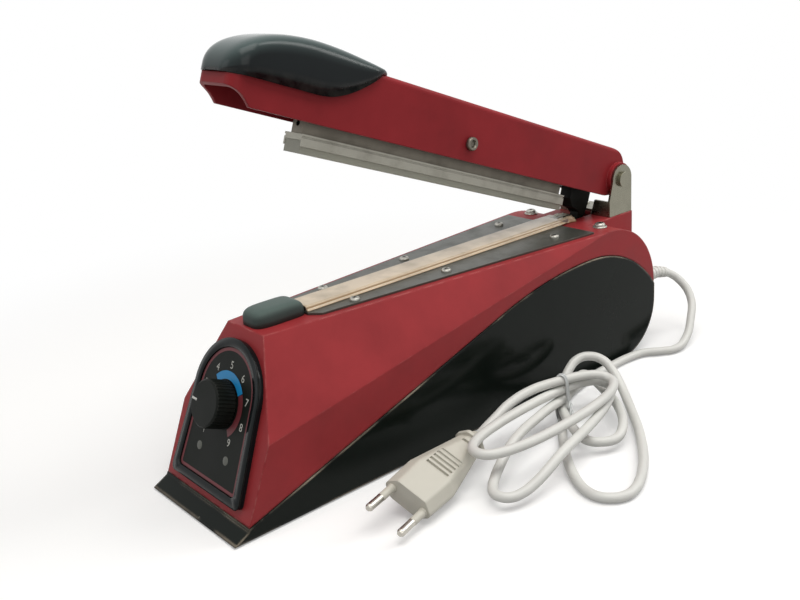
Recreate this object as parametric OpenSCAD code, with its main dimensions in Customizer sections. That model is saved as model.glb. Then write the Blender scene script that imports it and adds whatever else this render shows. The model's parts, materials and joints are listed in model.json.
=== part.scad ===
// Hand impulse sealer: a moulded body with a heated bar on top, a sprung arm that brings a
// rocking press bar down on it, a timer knob on the leaning front face and a mains lead.
// The part frame has x across, y from the dial face to the hinge and z up from the bench.
// The arm is drawn open, as it stands at rest.

/* [Body] */
// Length of the heated bar, which sets the length of the body and of the arm
seal_length = 198; // [162:1:280]
// Width over the lower tray
body_width = 80; // [74:1:100]
// Height of the casing top above the bench
body_height = 86; // [80:1:100]
// Wall of the casing and of the tray
shell_wall = 2.6; // [2:0.1:3.4]
// Lean of the dial face from upright in degrees
face_lean = 23.4; // [16:0.1:28]
// Width of the casing top at its front edge
top_front_width = 32; // [28:1:44]
// Height of the side crease where it meets the dial face
crease_height = 43.4; // [36:0.2:50]
// Reach of the lip in front of the dial face
lip_reach = 8.2; // [5:0.2:12]
// Height of the lip at the dial face
lip_height = 5.3; // [4:0.1:7]
// Radius of the rear of the casing, above
crown_radius = 42; // [30:1:46]
// Radius of the rear of the tray, below
heel_radius = 32; // [20:1:36]
// Drop from the casing top to the highest point of the wave seam
crest_drop = 12.8; // [10:0.2:18]
// Width of the hinge platform
platform_width = 41; // [40:0.5:50]
// Height of the rubber feet under the tray
foot_proud = 1; // [0.6:0.1:2]
// Diameter of a rubber foot
foot_diameter = 12; // [8:0.5:16]

/* [Dial] */
// Diameter of the timer knob
knob_diameter = 24; // [18:0.5:27]
// Height of the timer knob
knob_height = 10.5; // [9:0.5:16]
// Thickness of the arched bezel
bezel_thick = 2.6; // [2:0.1:4]
// Radius of the arch of the bezel
bezel_radius = 28; // [24:0.5:29]
// Half width of the bezel at its foot
bezel_foot = 31.3; // [28:0.1:34]
// Width of the rim round the dial plate
bezel_rim = 3.8; // [2.5:0.1:5]
// Distance of the knob centre up the dial face
dial_centre = 49.4; // [46:0.2:52]
// Diameter of the timer shaft
shaft_diameter = 6; // [4:0.5:6.5]

/* [Heated bar] */
// Width of the heated bar
bar_width = 15; // [11:0.5:18]
// Thickness of the heated bar
bar_thick = 2; // [1.5:0.1:4]
// Width of the heating ribbon
ribbon_width = 5; // [2:0.5:8]
// Thickness of the top plate under the bar
plate_thick = 1.2; // [0.8:0.1:2]
// Margin between the top plate and the edge of the casing top
plate_margin = 4; // [3:0.2:6]
// Length of the cap at the front end of the bar
cap_length = 28; // [20:1:32]
// Height of the front cap
cap_height = 8.2; // [6:0.1:10]

/* [Arm] */
// Angle of the open arm above level in degrees
open_angle = 20.6; // [16:0.1:28]
// Width of the arm channel
arm_width = 31; // [28:0.5:33]
// Height of the arm channel over the hinge
arm_height = 29.7; // [27:0.1:34]
// Wall of the arm channel
arm_wall = 2.2; // [1.6:0.1:3]
// Height of the hinge pin above the casing top
pin_height = 22; // [20:0.2:26]
// Diameter of the hinge pin
pin_diameter = 6; // [4:0.5:7]
// Thickness of the hinge bracket sheet
sheet_thick = 1.5; // [1.2:0.1:2]
// Height of the handle cap crown above the arm
crown_rise = 7.4; // [6:0.2:11]

/* [Press bar] */
// Width of the strip holder
holder_width = 15; // [12:0.5:18]
// Height of the strip holder
holder_height = 6.1; // [5:0.1:8]
// Width of the silicone strip
strip_width = 12.8; // [9:0.2:13.2]
// Thickness of the silicone strip below its holder
strip_drop = 3.3; // [2:0.1:5]
// Width of the steel web that carries the holder
web_width = 8.4; // [7:0.2:10]
// Height of the web that shows below the arm
web_drop = 5.2; // [4:0.1:7]
// Diameter of the press bar pivot
pivot_diameter = 5; // [4:0.5:6]

/* [Mains lead] */
// Diameter of the cord
cord_diameter = 5; // [4:0.1:5]
// Turns of the arm return spring
spring_turns = 6; // [4:1:7]

/* [Hidden] */
$fn = 64;

// Clearances
fit = 0.05;
seat_gap = 0.15;
run_gap = 0.3;
seam_gap = 0.4;

// Lengths along the body
face_run = (body_height - lip_height) * tan(face_lean);
cap_setback = 1.9;
cap_gap = 1;
front_margin = lip_reach + face_run + cap_setback + cap_length + cap_gap;
rear_margin = 46;
body_length = front_margin + seal_length + rear_margin;
front_y = -body_length / 2;
rear_y = body_length / 2;
bar_front = front_y + front_margin;
bar_rear = bar_front + seal_length;

// Casing and tray
seam_step = 0.6;
casing_width = body_width - 2 * seam_step;
casing_half = casing_width / 2;
cavity_width = casing_width - 2 * shell_wall;
tongue = 1.6;
tongue_rise = 4;
tongue_root = 6;
platform_proud = 2.5;
back_y = rear_y - platform_proud;
floor_z = foot_proud + shell_wall;
roof_z = body_height - shell_wall;
crown_y = back_y - crown_radius;
crown_z = body_height - crown_radius;
heel_y = back_y - heel_radius;
heel_z = foot_proud + heel_radius;
platform_front = rear_y - 48;
crease_end = rear_y - 48;

// The dial face, as a plane that leans back
function face_y(z) = front_y + lip_reach + (z - lip_height) * tan(face_lean);
face_top = face_y(body_height);

// Side chamfer plane through three corners of the casing
chamfer_low = [casing_half, face_y(crease_height), crease_height];
chamfer_back = [casing_half, crease_end, body_height];
chamfer_top = [top_front_width / 2, face_top, body_height];
chamfer_cross = cross(chamfer_back - chamfer_low, chamfer_top - chamfer_low);
chamfer_normal = chamfer_cross / norm(chamfer_cross);
function top_half(y) = top_front_width / 2
    + (casing_half - top_front_width / 2) * (y - face_top) / (crease_end - face_top);

// Wave seam: a straight rise, a long arc up to the crest and a short arc down to the rear
wave_rise_radius = 246;
wave_fall_radius = 75;
crest_y = rear_y - 63;
wave_height = body_height - crest_drop;
wave_foot = [front_y + lip_reach, lip_height + 1.2];
rise_centre = [crest_y, wave_height - wave_rise_radius];
fall_centre = [crest_y, wave_height - wave_fall_radius];
wave_span = rise_centre - wave_foot;
wave_angle = atan2(wave_span[1], wave_span[0]) + asin(wave_rise_radius / norm(wave_span));
far = 60;
seam_back = fall_centre[1] + sqrt(pow(wave_fall_radius, 2) - pow(back_y - crest_y, 2));

// Bar stack
plate_top = body_height + plate_thick;
bar_top = plate_top + bar_thick;
tape = 0.2;
ribbon_z = bar_top + tape;
cover_z = ribbon_z + tape;
cover = 0.25;
seal_z = cover_z + cover;
cover_half = bar_width / 2 + 0.5;
plate_front = bar_front - 0.8;
plate_rear = bar_rear - 9;
cap_width = bar_width + 3;
cap_front = bar_front - cap_gap - cap_length;
terminal_width = 8;
terminal_length = 7;

// Hinge
pin_y = rear_y - 9;
pin_z = body_height + pin_height;
ear_radius = 9;
ear_front = pin_y - 12.5;
boss_radius = 10;
boss_gap = run_gap;
boss_length = 2.7;
ear_inner = arm_width / 2 + boss_length + boss_gap;
ear_outer = ear_inner + sheet_thick;
edge_z = -12.2;
flange_height = pin_height + edge_z;
flange_gap = 5;
pin_head = pin_diameter + 3.5;
pin_head_thick = 2;

// Arm, in its own frame: origin on the pin, y to the rear, z square to its lower edge
arm_top = edge_z + arm_height;
jaw_start = 36.4;
jaw_reach = pin_y - bar_front - 0.8;
jaw_length = jaw_reach - jaw_start;
arm_reach = jaw_reach + 48;
arm_taper = 2;
rear_corner = 14;
nose_corner = 22;
nose_back = 3.5;
arm_edge = 2.5;
arm_back = 5;
mouth_z = -4.3;
mouth_run = 11.6;
plan_corner = 6;

// Press bar levels in the arm frame
holder_top = edge_z - web_drop;
holder_bottom = holder_top - holder_height;
strip_bottom = holder_bottom - strip_drop;
strip_pocket = 3;
web_wall = 1.5;
web_top = edge_z + 4;
web_setback = 1.2;
pivot_reach = jaw_start + jaw_length / 2 - 3.1;
pivot_z = -2.6;
lug_half = 12;
lug_top = 4;

// Closing travel: the strip meets the cover when the press bar lies level
press_depth = pivot_z - strip_bottom;
pivot_arm = norm([pivot_reach, pivot_z]);
close_gap = 0.4;
level_lift = asin((seal_z + close_gap + press_depth - pin_z) / pivot_arm);
level_angle = level_lift - atan2(pivot_z, pivot_reach);
close_angle = open_angle - level_angle;
echo(close_angle = close_angle, rock_ratio = level_angle / close_angle);

// Handle cap, in the arm frame
cap_nose = arm_reach + 1.8;
cap_tip = arm_reach - 91;
cap_half = arm_width / 2 + 2.2;
cap_square = 0.4;
cap_edge = 0.9;
nose_ledge = cap_edge - seat_gap;
cap_points = 20;

// Striker, switch and lever
striker_half = 4;
stem_half = 3;
slot_half = striker_half + 0.6;
lever_y = pin_y;
lever_z = pin_z - 34;
lever_reach = 27;
lever_half = 3.3;
lever_pin = 2;
switch_half = 5;

// Posts that hold the casing to the tray
post_diameter = 9;
post_top = 20;
post_screw = 2.9;
post_y = [front_y + 62, bar_rear - 14];
post_x = [top_half(post_y[0]) + 8, casing_half - 11];

// Timer board and transformer
board_y = bar_front + 48;
board_size = [52, 56, 1.6];
board_z = floor_z + 14;
board_inset = 4;
standoff_diameter = 7;
coil_y = bar_rear - 64;
core_size = [50, 18, 42];
core_leg = 16;
core_window = [9, 26];
coil_depth = 34;
foot_tab = 8;
tab_thick = 1.6;

// Screws: shank, head and head height
small_screw = [2.9, 5.4, 1.6];
wide_screw = [2.9, 6.2, 1.9];

// Mains lead: points along the free stretches, taken from the rear right corner of the tray
gland_x = body_width / 2 - 12;
gland_length = 12.5;
lie = cord_diameter / 2;
corner = [body_width / 2, rear_y, 0];
hank_base = lie + 1.4;
hank_step = cord_diameter + 0.6;
tail_top = hank_base + 4 * hank_step;
plug_lie = 14.7;
tie_corner = [29, -125];
lead_corner = [
    [-12, gland_length - platform_proud, seam_back], [-12, gland_length + 2.5, seam_back],
    [-10.5, 23, seam_back - 2], [-6, 31.5, seam_back - 8], [3, 32, 25], [12, 20, 13], [17, 7, 5],
    [18, -5, lie], [13, -14, lie], [7, -22, lie], [4.5, -34, lie], [4.5, -52, lie], [5.5, -71, lie],
    [8.5, -89, lie], [14, -105, lie], [20.5, -114.5, hank_base - 0.5], [26, -121, hank_base],
    [29, -125, hank_base]
];
tail_corner = [
    [29, -125, tail_top], [27.7, -129.8, tail_top], [23.2, -142.8, tail_top - 1.3],
    [21, -158, plug_lie + 7], [22.2, -170, plug_lie + 3.6], [23.3, -178, plug_lie + 1.6],
    [24.3, -183, plug_lie + 0.5], [25.4, -187.4, plug_lie]
];
lead_route = [for (p = lead_corner) corner + p];
tail_route = [for (p = tail_corner) corner + p];
tie_point = [corner[0] + tie_corner[0], corner[1] + tie_corner[1]];
// Loops of the hank: fan angle, reach before the tie, reach behind it, half width,
// height of the front tip above the bench and lift behind the tie
hank_loops = [
    [47, 82, 38, 20, 0, 18],
    [40, 36, 24, 15, 4, 8],
    [75, 92, 25, 14, 4, 0],
    [87, 82, 24, 14, 18.5, 0]
];
tail_fan = 97;
end_square = 0.9;
side_square = 0.8;
hank_rings = 32;
hank_sides = 6;
lead_sides = 10;
tie_wire = 1.2;

// Plug, lying on one edge of its front with its flange held up by the cord
plug_heading = 76;
plug_dip = 3;
plug_roll = -27;
plug_thick = 13;
plug_bevel = 6;
plug_end = tail_route[len(tail_route) - 1];
relief_length = 5;
plug_length = 57;
pin_spacing = 18.6;
plug_pin = [4, 19];

// A curve through the route points, with three steps from each point to the next
function spline(p0, p1, p2, p3, t) = 0.5 * (2 * p1 + (p2 - p0) * t
    + (2 * p0 - 5 * p1 + 4 * p2 - p3) * t * t + (3 * p1 - p0 - 3 * p2 + p3) * t * t * t);
function smooth_route(r, steps = 3) = concat(
    [for (i = [0 : len(r) - 2], k = [0 : steps - 1])
        spline(r[max(i - 1, 0)], r[i], r[i + 1], r[min(i + 2, len(r) - 1)], k / steps)],
    [r[len(r) - 1]]);
function bezier(a, b, c, d, steps = 8) = [for (i = [0 : steps])
    let (t = i / steps, u = 1 - t)
    u * u * u * a + 3 * u * u * t * b + 3 * u * t * t * c + t * t * t * d];
function unit(v) = v / norm(v);
function heading(p, i) = unit(p[min(i + 1, len(p) - 1)] - p[max(i - 1, 0)]);
function ring(c, t, r, sides) =
    let (side = unit(cross(t, [0, 0, 1])), up = cross(side, t))
    [for (k = [0 : sides - 1]) c + r * (cos(360 * k / sides) * side + sin(360 * k / sides) * up)];

// Tube swept along points, closed with a flat fan at each end
module tube(points, diameter, sides) {
    n = len(points);
    rings = [for (i = [0 : n - 1]) each ring(points[i], heading(points, i), diameter / 2, sides)];
    skin = [for (i = [0 : n - 2], k = [0 : sides - 1])
        let (a = i * sides + k, b = i * sides + (k + 1) % sides)
        each [[a, a + sides, b], [b, a + sides, b + sides]]];
    ends = [for (k = [1 : sides - 2])
        each [[0, k, k + 1], [(n - 1) * sides, (n - 1) * sides + k + 1, (n - 1) * sides + k]]];
    polyhedron(rings, concat(skin, ends));
}

// Hank: every loop runs out along the tied strand, round its tip and back behind the tie
function ease(x) = let (c = max(0, min(1, x))) c * c * (3 - 2 * c);
function bow(v, power) = sign(v) * pow(abs(v), power);
function hank_point(s) =
    let (j = min(floor(s), len(hank_loops) - 1), t = s - j, loop = hank_loops[j])
    let (fan = loop[0], reach = loop[1], back = loop[2], half = loop[3])
    let (next_fan = j + 1 < len(hank_loops) ? hank_loops[j + 1][0] : tail_fan)
    let (long = (reach + back) / 2, middle = (reach - back) / 2)
    let (tied = acos(bow(-middle / long, 1 / end_square)), turn = tied - 360 * t)
    let (x = middle + long * bow(cos(turn), end_square))
    let (y = half * (bow(sin(turn), side_square) - bow(sin(tied), side_square)))
    let (climb = ease((t - 0.7) / 0.3), a = -(fan + (next_fan - fan) * climb))
    let (droop = ease((x / reach - 0.5) / 0.5), lift = pow(sin(180 * max(0, (t - 0.6) / 0.4)), 2))
    let (layer = hank_base + hank_step * (j + climb), tip = cord_diameter / 2 + loop[4])
    [tie_point[0] + x * cos(a) + y * sin(a), tie_point[1] + x * sin(a) - y * cos(a),
        layer + (tip - layer) * droop + loop[5] * lift];
hank_path = [for (i = [0 : len(hank_loops) * hank_rings]) hank_point(i / hank_rings)];
hank_gap = min([for (i = [0 : len(hank_path) - 1], j = [i + 5 : 1 : len(hank_path) - 1])
    norm(hank_path[i] - hank_path[j])]) - cord_diameter;
echo(hank_gap = hank_gap);

// Return spring: a coil round the hinge pin with a leg to the bracket and one to the arm
spring_wire = 1.6;
spring_radius = pin_diameter / 2 + spring_wire / 2 + 0.5;
spring_pitch = spring_wire + 0.45;
spring_rings = 16;
spring_span = spring_turns * spring_pitch;
spring_start = 210;
function coil_point(i) =
    let (a = spring_start + 360 * i / spring_rings, x = -spring_span / 2 + spring_pitch * i / spring_rings)
    [x, pin_y + spring_radius * cos(a), pin_z + spring_radius * sin(a)];
coil_path = [for (i = [0 : spring_turns * spring_rings]) coil_point(i)];
foot_leg_z = body_height + sheet_thick + spring_wire / 2 + 0.1;
leg_start = coil_path[0];
leg_end = coil_path[len(coil_path) - 1];
spring_path = concat(
    [[leg_start[0], pin_y - 9, foot_leg_z], [leg_start[0], pin_y - 7, foot_leg_z + 4]],
    coil_path,
    [[leg_end[0], leg_end[1] - 4, leg_end[2] + 5], [leg_end[0], leg_end[1] - 8, leg_end[2] + 10]]);
echo(spring_gap = spring_pitch - spring_wire);

// Frames
module across(width) {
    rotate([90, 0, 90])
        linear_extrude(height = width, center = true)
            children();
}
module on_face() {
    translate([0, front_y + lip_reach, lip_height])
        rotate([90 - face_lean, 0, 0])
            children();
}
module on_arm() {
    translate([0, pin_y, pin_z])
        rotate([-open_angle, 0, 0])
            children();
}
module along_x(length) {
    rotate([0, 90, 0])
        linear_extrude(height = length, center = true)
            children();
}
module mirrored() {
    children();
    mirror([1, 0, 0])
        children();
}
module on_plug() {
    translate(plug_end)
        rotate([0, 0, -plug_heading])
            rotate([0, 90 + plug_dip, 0])
                rotate([0, 0, plug_roll])
                    children();
}

// Pan head screw with its head on z = 0 and its shank below
module pan_screw(kind, length) {
    translate([0, 0, -length])
        cylinder(d = kind[0] - 2 * fit, h = length);
    cylinder(d1 = kind[1], d2 = kind[1] - 1.2, h = kind[2]);
}

// Body outline from the side, drawn inward by a wall
module side_outline(inset) {
    low = foot_proud + inset;
    high = body_height - inset;
    shift = inset / cos(face_lean);
    foot = inset > 0
        ? [[face_y(low) + shift, low]]
        : [[front_y, low], [front_y + lip_reach, lip_height]];
    polygon(concat(foot, [
        [face_y(high) + shift, high], [crown_y, high], [crown_y, crown_z],
        [back_y - inset, crown_z], [back_y - inset, heel_z], [heel_y, heel_z], [heel_y, low]
    ]));
    translate([crown_y, crown_z])
        circle(crown_radius - inset, $fn = 96);
    translate([heel_y, heel_z])
        circle(heel_radius - inset, $fn = 96);
}
module chamfer_cut(inset) {
    translate(chamfer_low - inset * chamfer_normal)
        rotate([0, acos(chamfer_normal[2]), atan2(chamfer_normal[1], chamfer_normal[0])])
            translate([-body_length, -body_length, 0])
                cube([2 * body_length, 2 * body_length, body_height]);
}
module body_block(inset, width) {
    difference() {
        across(width)
            side_outline(inset);
        mirrored()
            chamfer_cut(inset);
    }
}
module platform_block(inset) {
    translate([-platform_width / 2 + inset, platform_front, crown_z])
        cube([platform_width - 2 * inset, rear_y - inset - platform_front, body_height - inset - crown_z]);
}
module cavity(inset) {
    body_block(shell_wall + inset, cavity_width - 2 * inset);
    platform_block(shell_wall + inset);
}

// The side of the body below the wave seam, moved up or down by a rise
function arc_point(centre, radius, angle) = centre + radius * [cos(angle), sin(angle)];
module below_wave(rise) {
    steps = 24;
    wave_end = rear_y + far / 6;
    end_angle = acos((wave_end - crest_y) / wave_fall_radius);
    rise_arc = [for (i = [0 : steps]) arc_point(rise_centre, wave_rise_radius, 90 + wave_angle * (1 - i / steps))];
    fall_arc = [for (i = [1 : steps]) arc_point(fall_centre, wave_fall_radius, 90 - (90 - end_angle) * i / steps)];
    translate([0, rise])
        polygon(concat(
            [[front_y - far, -far], [front_y - far, wave_foot[1] - (far + lip_reach) * tan(wave_angle)]],
            rise_arc, fall_arc, [[wave_end, -far]]));
}

// Casing and tray
module at_posts() {
    for (row = [0, 1], side = [-1, 1])
        translate([side * post_x[row], post_y[row], 0])
            children();
}
module plate_outline() {
    nose = 5;
    front_half = top_half(plate_front) - plate_margin;
    rear_half = top_half(plate_rear) - plate_margin;
    polygon([
        [-front_half + nose, plate_front], [front_half - nose, plate_front],
        [front_half + 0.6, plate_front + nose], [rear_half, plate_rear],
        [-rear_half, plate_rear], [-front_half - 0.6, plate_front + nose]
    ]);
}
plate_screw_y = [bar_front + 26, bar_front + 86, bar_rear - 30];
function plate_screw_x(y) = bar_width / 2 + 0.6 * (top_half(y) - plate_margin - bar_width / 2);
module at_plate_screws() {
    for (y = plate_screw_y, side = [-1, 1])
        translate([side * plate_screw_x(y), y, 0])
            children();
}
casing_screw = [casing_half - 11.5, rear_y - 41];
module at_casing_screws() {
    for (side = [-1, 1])
        translate([side * casing_screw[0], casing_screw[1], 0])
            children();
}
bracket_screw = [ear_inner - 6, rear_y - 5.5];
module at_bracket_screws() {
    for (side = [-1, 1])
        translate([side * bracket_screw[0], bracket_screw[1], 0])
            children();
}
slot_front = pin_y - 27;
slot_rear = pin_y - 7;
module gland_bore(diameter) {
    translate([gland_x, back_y + 1, seam_back])
        rotate([90, 0, 0])
            cylinder(d = diameter, h = shell_wall + tongue + 4);
}
gland_neck = cord_diameter + 4;
bushing = shaft_diameter + 3;

module top_casing() {
    rib = 2;
    color([0.62, 0.12, 0.15])
    difference() {
        union() {
            difference() {
                intersection() {
                    union() {
                        body_block(0, casing_width);
                        platform_block(0);
                    }
                    difference() {
                        translate([-body_width, front_y - 1, 0])
                            cube([2 * body_width, body_length + 2, 2 * body_height]);
                        across(3 * body_width)
                            below_wave(seam_gap / 2);
                    }
                }
                cavity(0);
            }
            intersection() {
                at_posts()
                    translate([0, 0, post_top])
                        cylinder(d = post_diameter, h = body_height);
                body_block(shell_wall / 2, casing_width - shell_wall);
            }
            mirrored()
                translate([switch_half + seat_gap, lever_y - 14, lever_z - 16])
                    cube([rib, 16, roof_z - lever_z + 16.5]);
        }
        at_posts()
            translate([0, 0, post_top - 1])
                cylinder(d = post_screw + 2 * fit, h = 16);
        translate([-slot_half, slot_front, roof_z - 1])
            cube([2 * slot_half, slot_rear - slot_front, shell_wall + 2]);
        on_face()
            translate([0, dial_centre, -2 * shell_wall])
                cylinder(d = bushing + 2 * fit, h = 3 * shell_wall);
        translate([0, 0, roof_z - 1]) {
            at_plate_screws()
                cylinder(d = small_screw[0], h = shell_wall + 2);
            at_casing_screws()
                cylinder(d = wide_screw[0], h = shell_wall + 2);
            at_bracket_screws()
                cylinder(d = small_screw[0], h = shell_wall + 2);
        }
        gland_bore(gland_neck + 2 * seat_gap);
    }
}
module at_standoffs() {
    for (sx = [-1, 1], sy = [-1, 1])
        translate([sx * (board_size[0] / 2 - board_inset), board_y + sy * (board_size[1] / 2 - board_inset), 0])
            children();
}
module at_coil_feet() {
    for (side = [-1, 1])
        translate([side * (core_size[0] / 2 + foot_tab / 2), coil_y, 0])
            children();
}
feet_x = body_width / 2 - 14;
feet_y = [front_y + 40, heel_y - 6];
module at_feet() {
    for (side = [-1, 1], y = feet_y)
        translate([side * feet_x, y, 0])
            children();
}
foot_recess = 1.2;
head_well = 6;
module base_tray() {
    color([0.09, 0.1, 0.1])
    difference() {
        union() {
            difference() {
                union() {
                    intersection() {
                        across(body_width)
                            side_outline(0);
                        across(3 * body_width)
                            below_wave(-seam_gap / 2);
                    }
                    intersection() {
                        cavity(seat_gap);
                        across(3 * body_width)
                            below_wave(tongue_rise);
                    }
                }
                cavity(tongue);
                intersection() {
                    cavity(0);
                    across(3 * body_width)
                        below_wave(-tongue_root);
                }
            }
            at_posts()
                translate([0, 0, foot_proud + 0.5])
                    cylinder(d = post_diameter, h = post_top - seat_gap - foot_proud - 0.5);
            at_standoffs()
                translate([0, 0, foot_proud + 0.5])
                    cylinder(d = standoff_diameter, h = board_z - foot_proud - 0.5);
            at_coil_feet()
                translate([0, 0, foot_proud + 0.5])
                    cylinder(d = foot_tab, h = floor_z + 2 - foot_proud - 0.5);
            translate([-core_size[0] / 2 + 2, coil_y - core_size[1] / 2, foot_proud + 0.5])
                cube([core_size[0] - 4, core_size[1], floor_z + 2 - foot_proud - 0.5]);
        }
        at_feet()
            translate([0, 0, foot_proud - 1])
                cylinder(d = foot_diameter + 2 * fit, h = 1 + foot_recess);
        at_posts() {
            translate([0, 0, foot_proud - 1])
                cylinder(d = wide_screw[1] + 0.6, h = 1 + head_well);
            cylinder(d = post_screw + 0.4, h = post_top + 1);
        }
        at_standoffs()
            translate([0, 0, board_z - 8])
                cylinder(d = small_screw[0], h = 9);
        at_coil_feet()
            translate([0, 0, floor_z - 1])
                cylinder(d = small_screw[0], h = 4);
        gland_bore(gland_neck + 2 * seat_gap);
    }
}
module rubber_feet() {
    color([0.06, 0.06, 0.06])
    at_feet() {
        cylinder(d1 = foot_diameter - 1.2, d2 = foot_diameter, h = 0.6);
        translate([0, 0, 0.6])
            cylinder(d = foot_diameter, h = foot_proud + foot_recess - 0.6);
    }
}
module base_screws() {
    color([0.7, 0.7, 0.68])
    at_posts()
        translate([0, 0, foot_proud + head_well])
            mirror([0, 0, 1])
                pan_screw([post_screw, wide_screw[1], wide_screw[2]], post_top + 10 - foot_proud - head_well);
}
module casing_screws() {
    washer = 0.8;
    color([0.8, 0.8, 0.78])
    at_casing_screws()
        translate([0, 0, body_height]) {
            cylinder(d = 8.4, h = washer);
            translate([0, 0, washer])
                pan_screw(wide_screw, 9);
        }
}

// Dial
module arch(radius, foot, low, centre) {
    corner = 3;
    polygon([
        [-foot, low + corner], [-foot + corner, low], [foot - corner, low], [foot, low + corner],
        [radius, centre], [-radius, centre]
    ]);
    for (side = [-1, 1])
        translate([side * (foot - corner), low + corner])
            circle(corner, $fn = 32);
    translate([0, centre])
        circle(radius, $fn = 96);
}
bezel_low = 6.8;
arch_centre = dial_centre + 4.4;
plate_recess = 0.6;
module dial_bezel() {
    color([0.07, 0.07, 0.07])
    on_face()
        difference() {
            linear_extrude(bezel_thick)
                arch(bezel_radius, bezel_foot, bezel_low, arch_centre);
            translate([0, 0, bezel_thick - plate_recess])
                linear_extrude(1)
                    arch(bezel_radius - bezel_rim, bezel_foot - bezel_rim - 1, bezel_low + bezel_rim, arch_centre);
            translate([0, dial_centre, -1])
                cylinder(d = bushing + 2 * fit, h = bezel_thick + 2);
        }
}
module dial_plate() {
    color([0.1, 0.1, 0.11])
    on_face()
        translate([0, 0, bezel_thick - plate_recess])
            linear_extrude(plate_recess - 0.1)
                difference() {
                    arch(bezel_radius - bezel_rim - fit, bezel_foot - bezel_rim - 1 - fit,
                        bezel_low + bezel_rim + fit, arch_centre);
                    translate([0, dial_centre])
                        circle(d = bushing + 6);
                }
}
knob_seat = bezel_thick + 0.5;
nut_flats = bushing + 3;
nut_thick = 2;
nut_seat = bezel_thick - plate_recess;
module pot_body() {
    can = 24;
    can_depth = 9;
    color([0.55, 0.56, 0.52])
    on_face()
        translate([0, dial_centre, -shell_wall]) {
            difference() {
                union() {
                    translate([0, 0, -can_depth])
                        cylinder(d = can, h = can_depth);
                    cylinder(d = bushing, h = shell_wall + nut_seat + nut_thick + 1);
                }
                translate([0, 0, -can_depth + 2])
                    cylinder(d = shaft_diameter + 2 * fit, h = 40);
            }
            for (pin = [-1, 0, 1])
                translate([5 * pin - 0.6, -can / 2 - 5, -can_depth + 2])
                    cube([1.2, 6, 1]);
        }
}
module pot_nut() {
    color([0.75, 0.75, 0.7])
    on_face()
        translate([0, dial_centre, nut_seat])
            difference() {
                cylinder(d = nut_flats / cos(30), h = nut_thick, $fn = 6);
                translate([0, 0, -1])
                    cylinder(d = bushing + 2 * fit, h = nut_thick + 2);
            }
}
knob_roof = 3;
knob_teeth = 40;
pointer = [4.4, 1.2, 0.5];
module timer_knob() {
    r = knob_diameter / 2;
    well = nut_flats / cos(30) + 1.2;
    color([0.1, 0.1, 0.1])
    on_face()
        translate([0, dial_centre, knob_seat])
            difference() {
                intersection() {
                    linear_extrude(knob_height)
                        polygon([for (i = [0 : 2 * knob_teeth - 1])
                            (r - 0.5 * (i % 2)) * [cos(180 * i / knob_teeth), sin(180 * i / knob_teeth)]]);
                    union() {
                        cylinder(d = knob_diameter + 1, h = knob_height - 1.5);
                        translate([0, 0, knob_height - 1.5])
                            cylinder(d1 = knob_diameter + 1, d2 = knob_diameter - 2, h = 1.5);
                    }
                }
                translate([0, 0, -1])
                    cylinder(d = well, h = knob_height - knob_roof - 1);
                translate([0, 0, -1])
                    cylinder(d = shaft_diameter + 2 * fit, h = knob_height - 0.2);
                translate([-r + 1, -pointer[1] / 2, knob_height - pointer[2]])
                    cube([pointer[0], pointer[1], 1]);
            }
}
module knob_pointer() {
    r = knob_diameter / 2;
    color([0.93, 0.93, 0.9])
    on_face()
        translate([-r + 1 + fit, dial_centre - pointer[1] / 2 + fit, knob_seat + knob_height - pointer[2]])
            cube([pointer[0] - 2 * fit, pointer[1] - 2 * fit, pointer[2]]);
}
module pot_shaft() {
    color([0.75, 0.75, 0.7])
    on_face()
        translate([0, dial_centre, -shell_wall - 6.5])
            cylinder(d = shaft_diameter, h = shell_wall + 6.5 + knob_seat + knob_height - 1.4);
}

// Top plate and heated bar
module top_plate() {
    color([0.33, 0.34, 0.32])
    translate([0, 0, body_height])
        difference() {
            linear_extrude(plate_thick)
                plate_outline();
            at_plate_screws()
                translate([0, 0, -1])
                    cylinder(d = small_screw[0], h = plate_thick + 2);
        }
}
module plate_screws() {
    color([0.82, 0.82, 0.8])
    at_plate_screws()
        translate([0, 0, plate_top])
            pan_screw(small_screw, plate_thick + shell_wall + 4);
}
module element_bar() {
    color([0.6, 0.6, 0.58])
    translate([-bar_width / 2, bar_front, plate_top])
        cube([bar_width, seal_length, bar_thick]);
}
module insulating_strip() {
    color([0.66, 0.5, 0.33])
    translate([-bar_width / 2, bar_front, bar_top])
        cube([bar_width, seal_length, tape]);
}
ribbon_front = bar_front - 12;
ribbon_rear = bar_rear + terminal_length;
module heating_ribbon() {
    color([0.7, 0.68, 0.62])
    translate([-ribbon_width / 2, ribbon_front, ribbon_z])
        cube([ribbon_width, ribbon_rear - ribbon_front, tape]);
}
module ptfe_cover() {
    skirt = 0.2;
    color([0.7, 0.55, 0.36])
    difference() {
        translate([-cover_half, bar_front, plate_top + skirt])
            cube([2 * cover_half, seal_length, seal_z - plate_top - skirt]);
        translate([-cover_half + cover, bar_front - 1, plate_top - 1])
            cube([2 * (cover_half - cover), seal_length + 2, cover_z - plate_top + 1]);
    }
}
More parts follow.
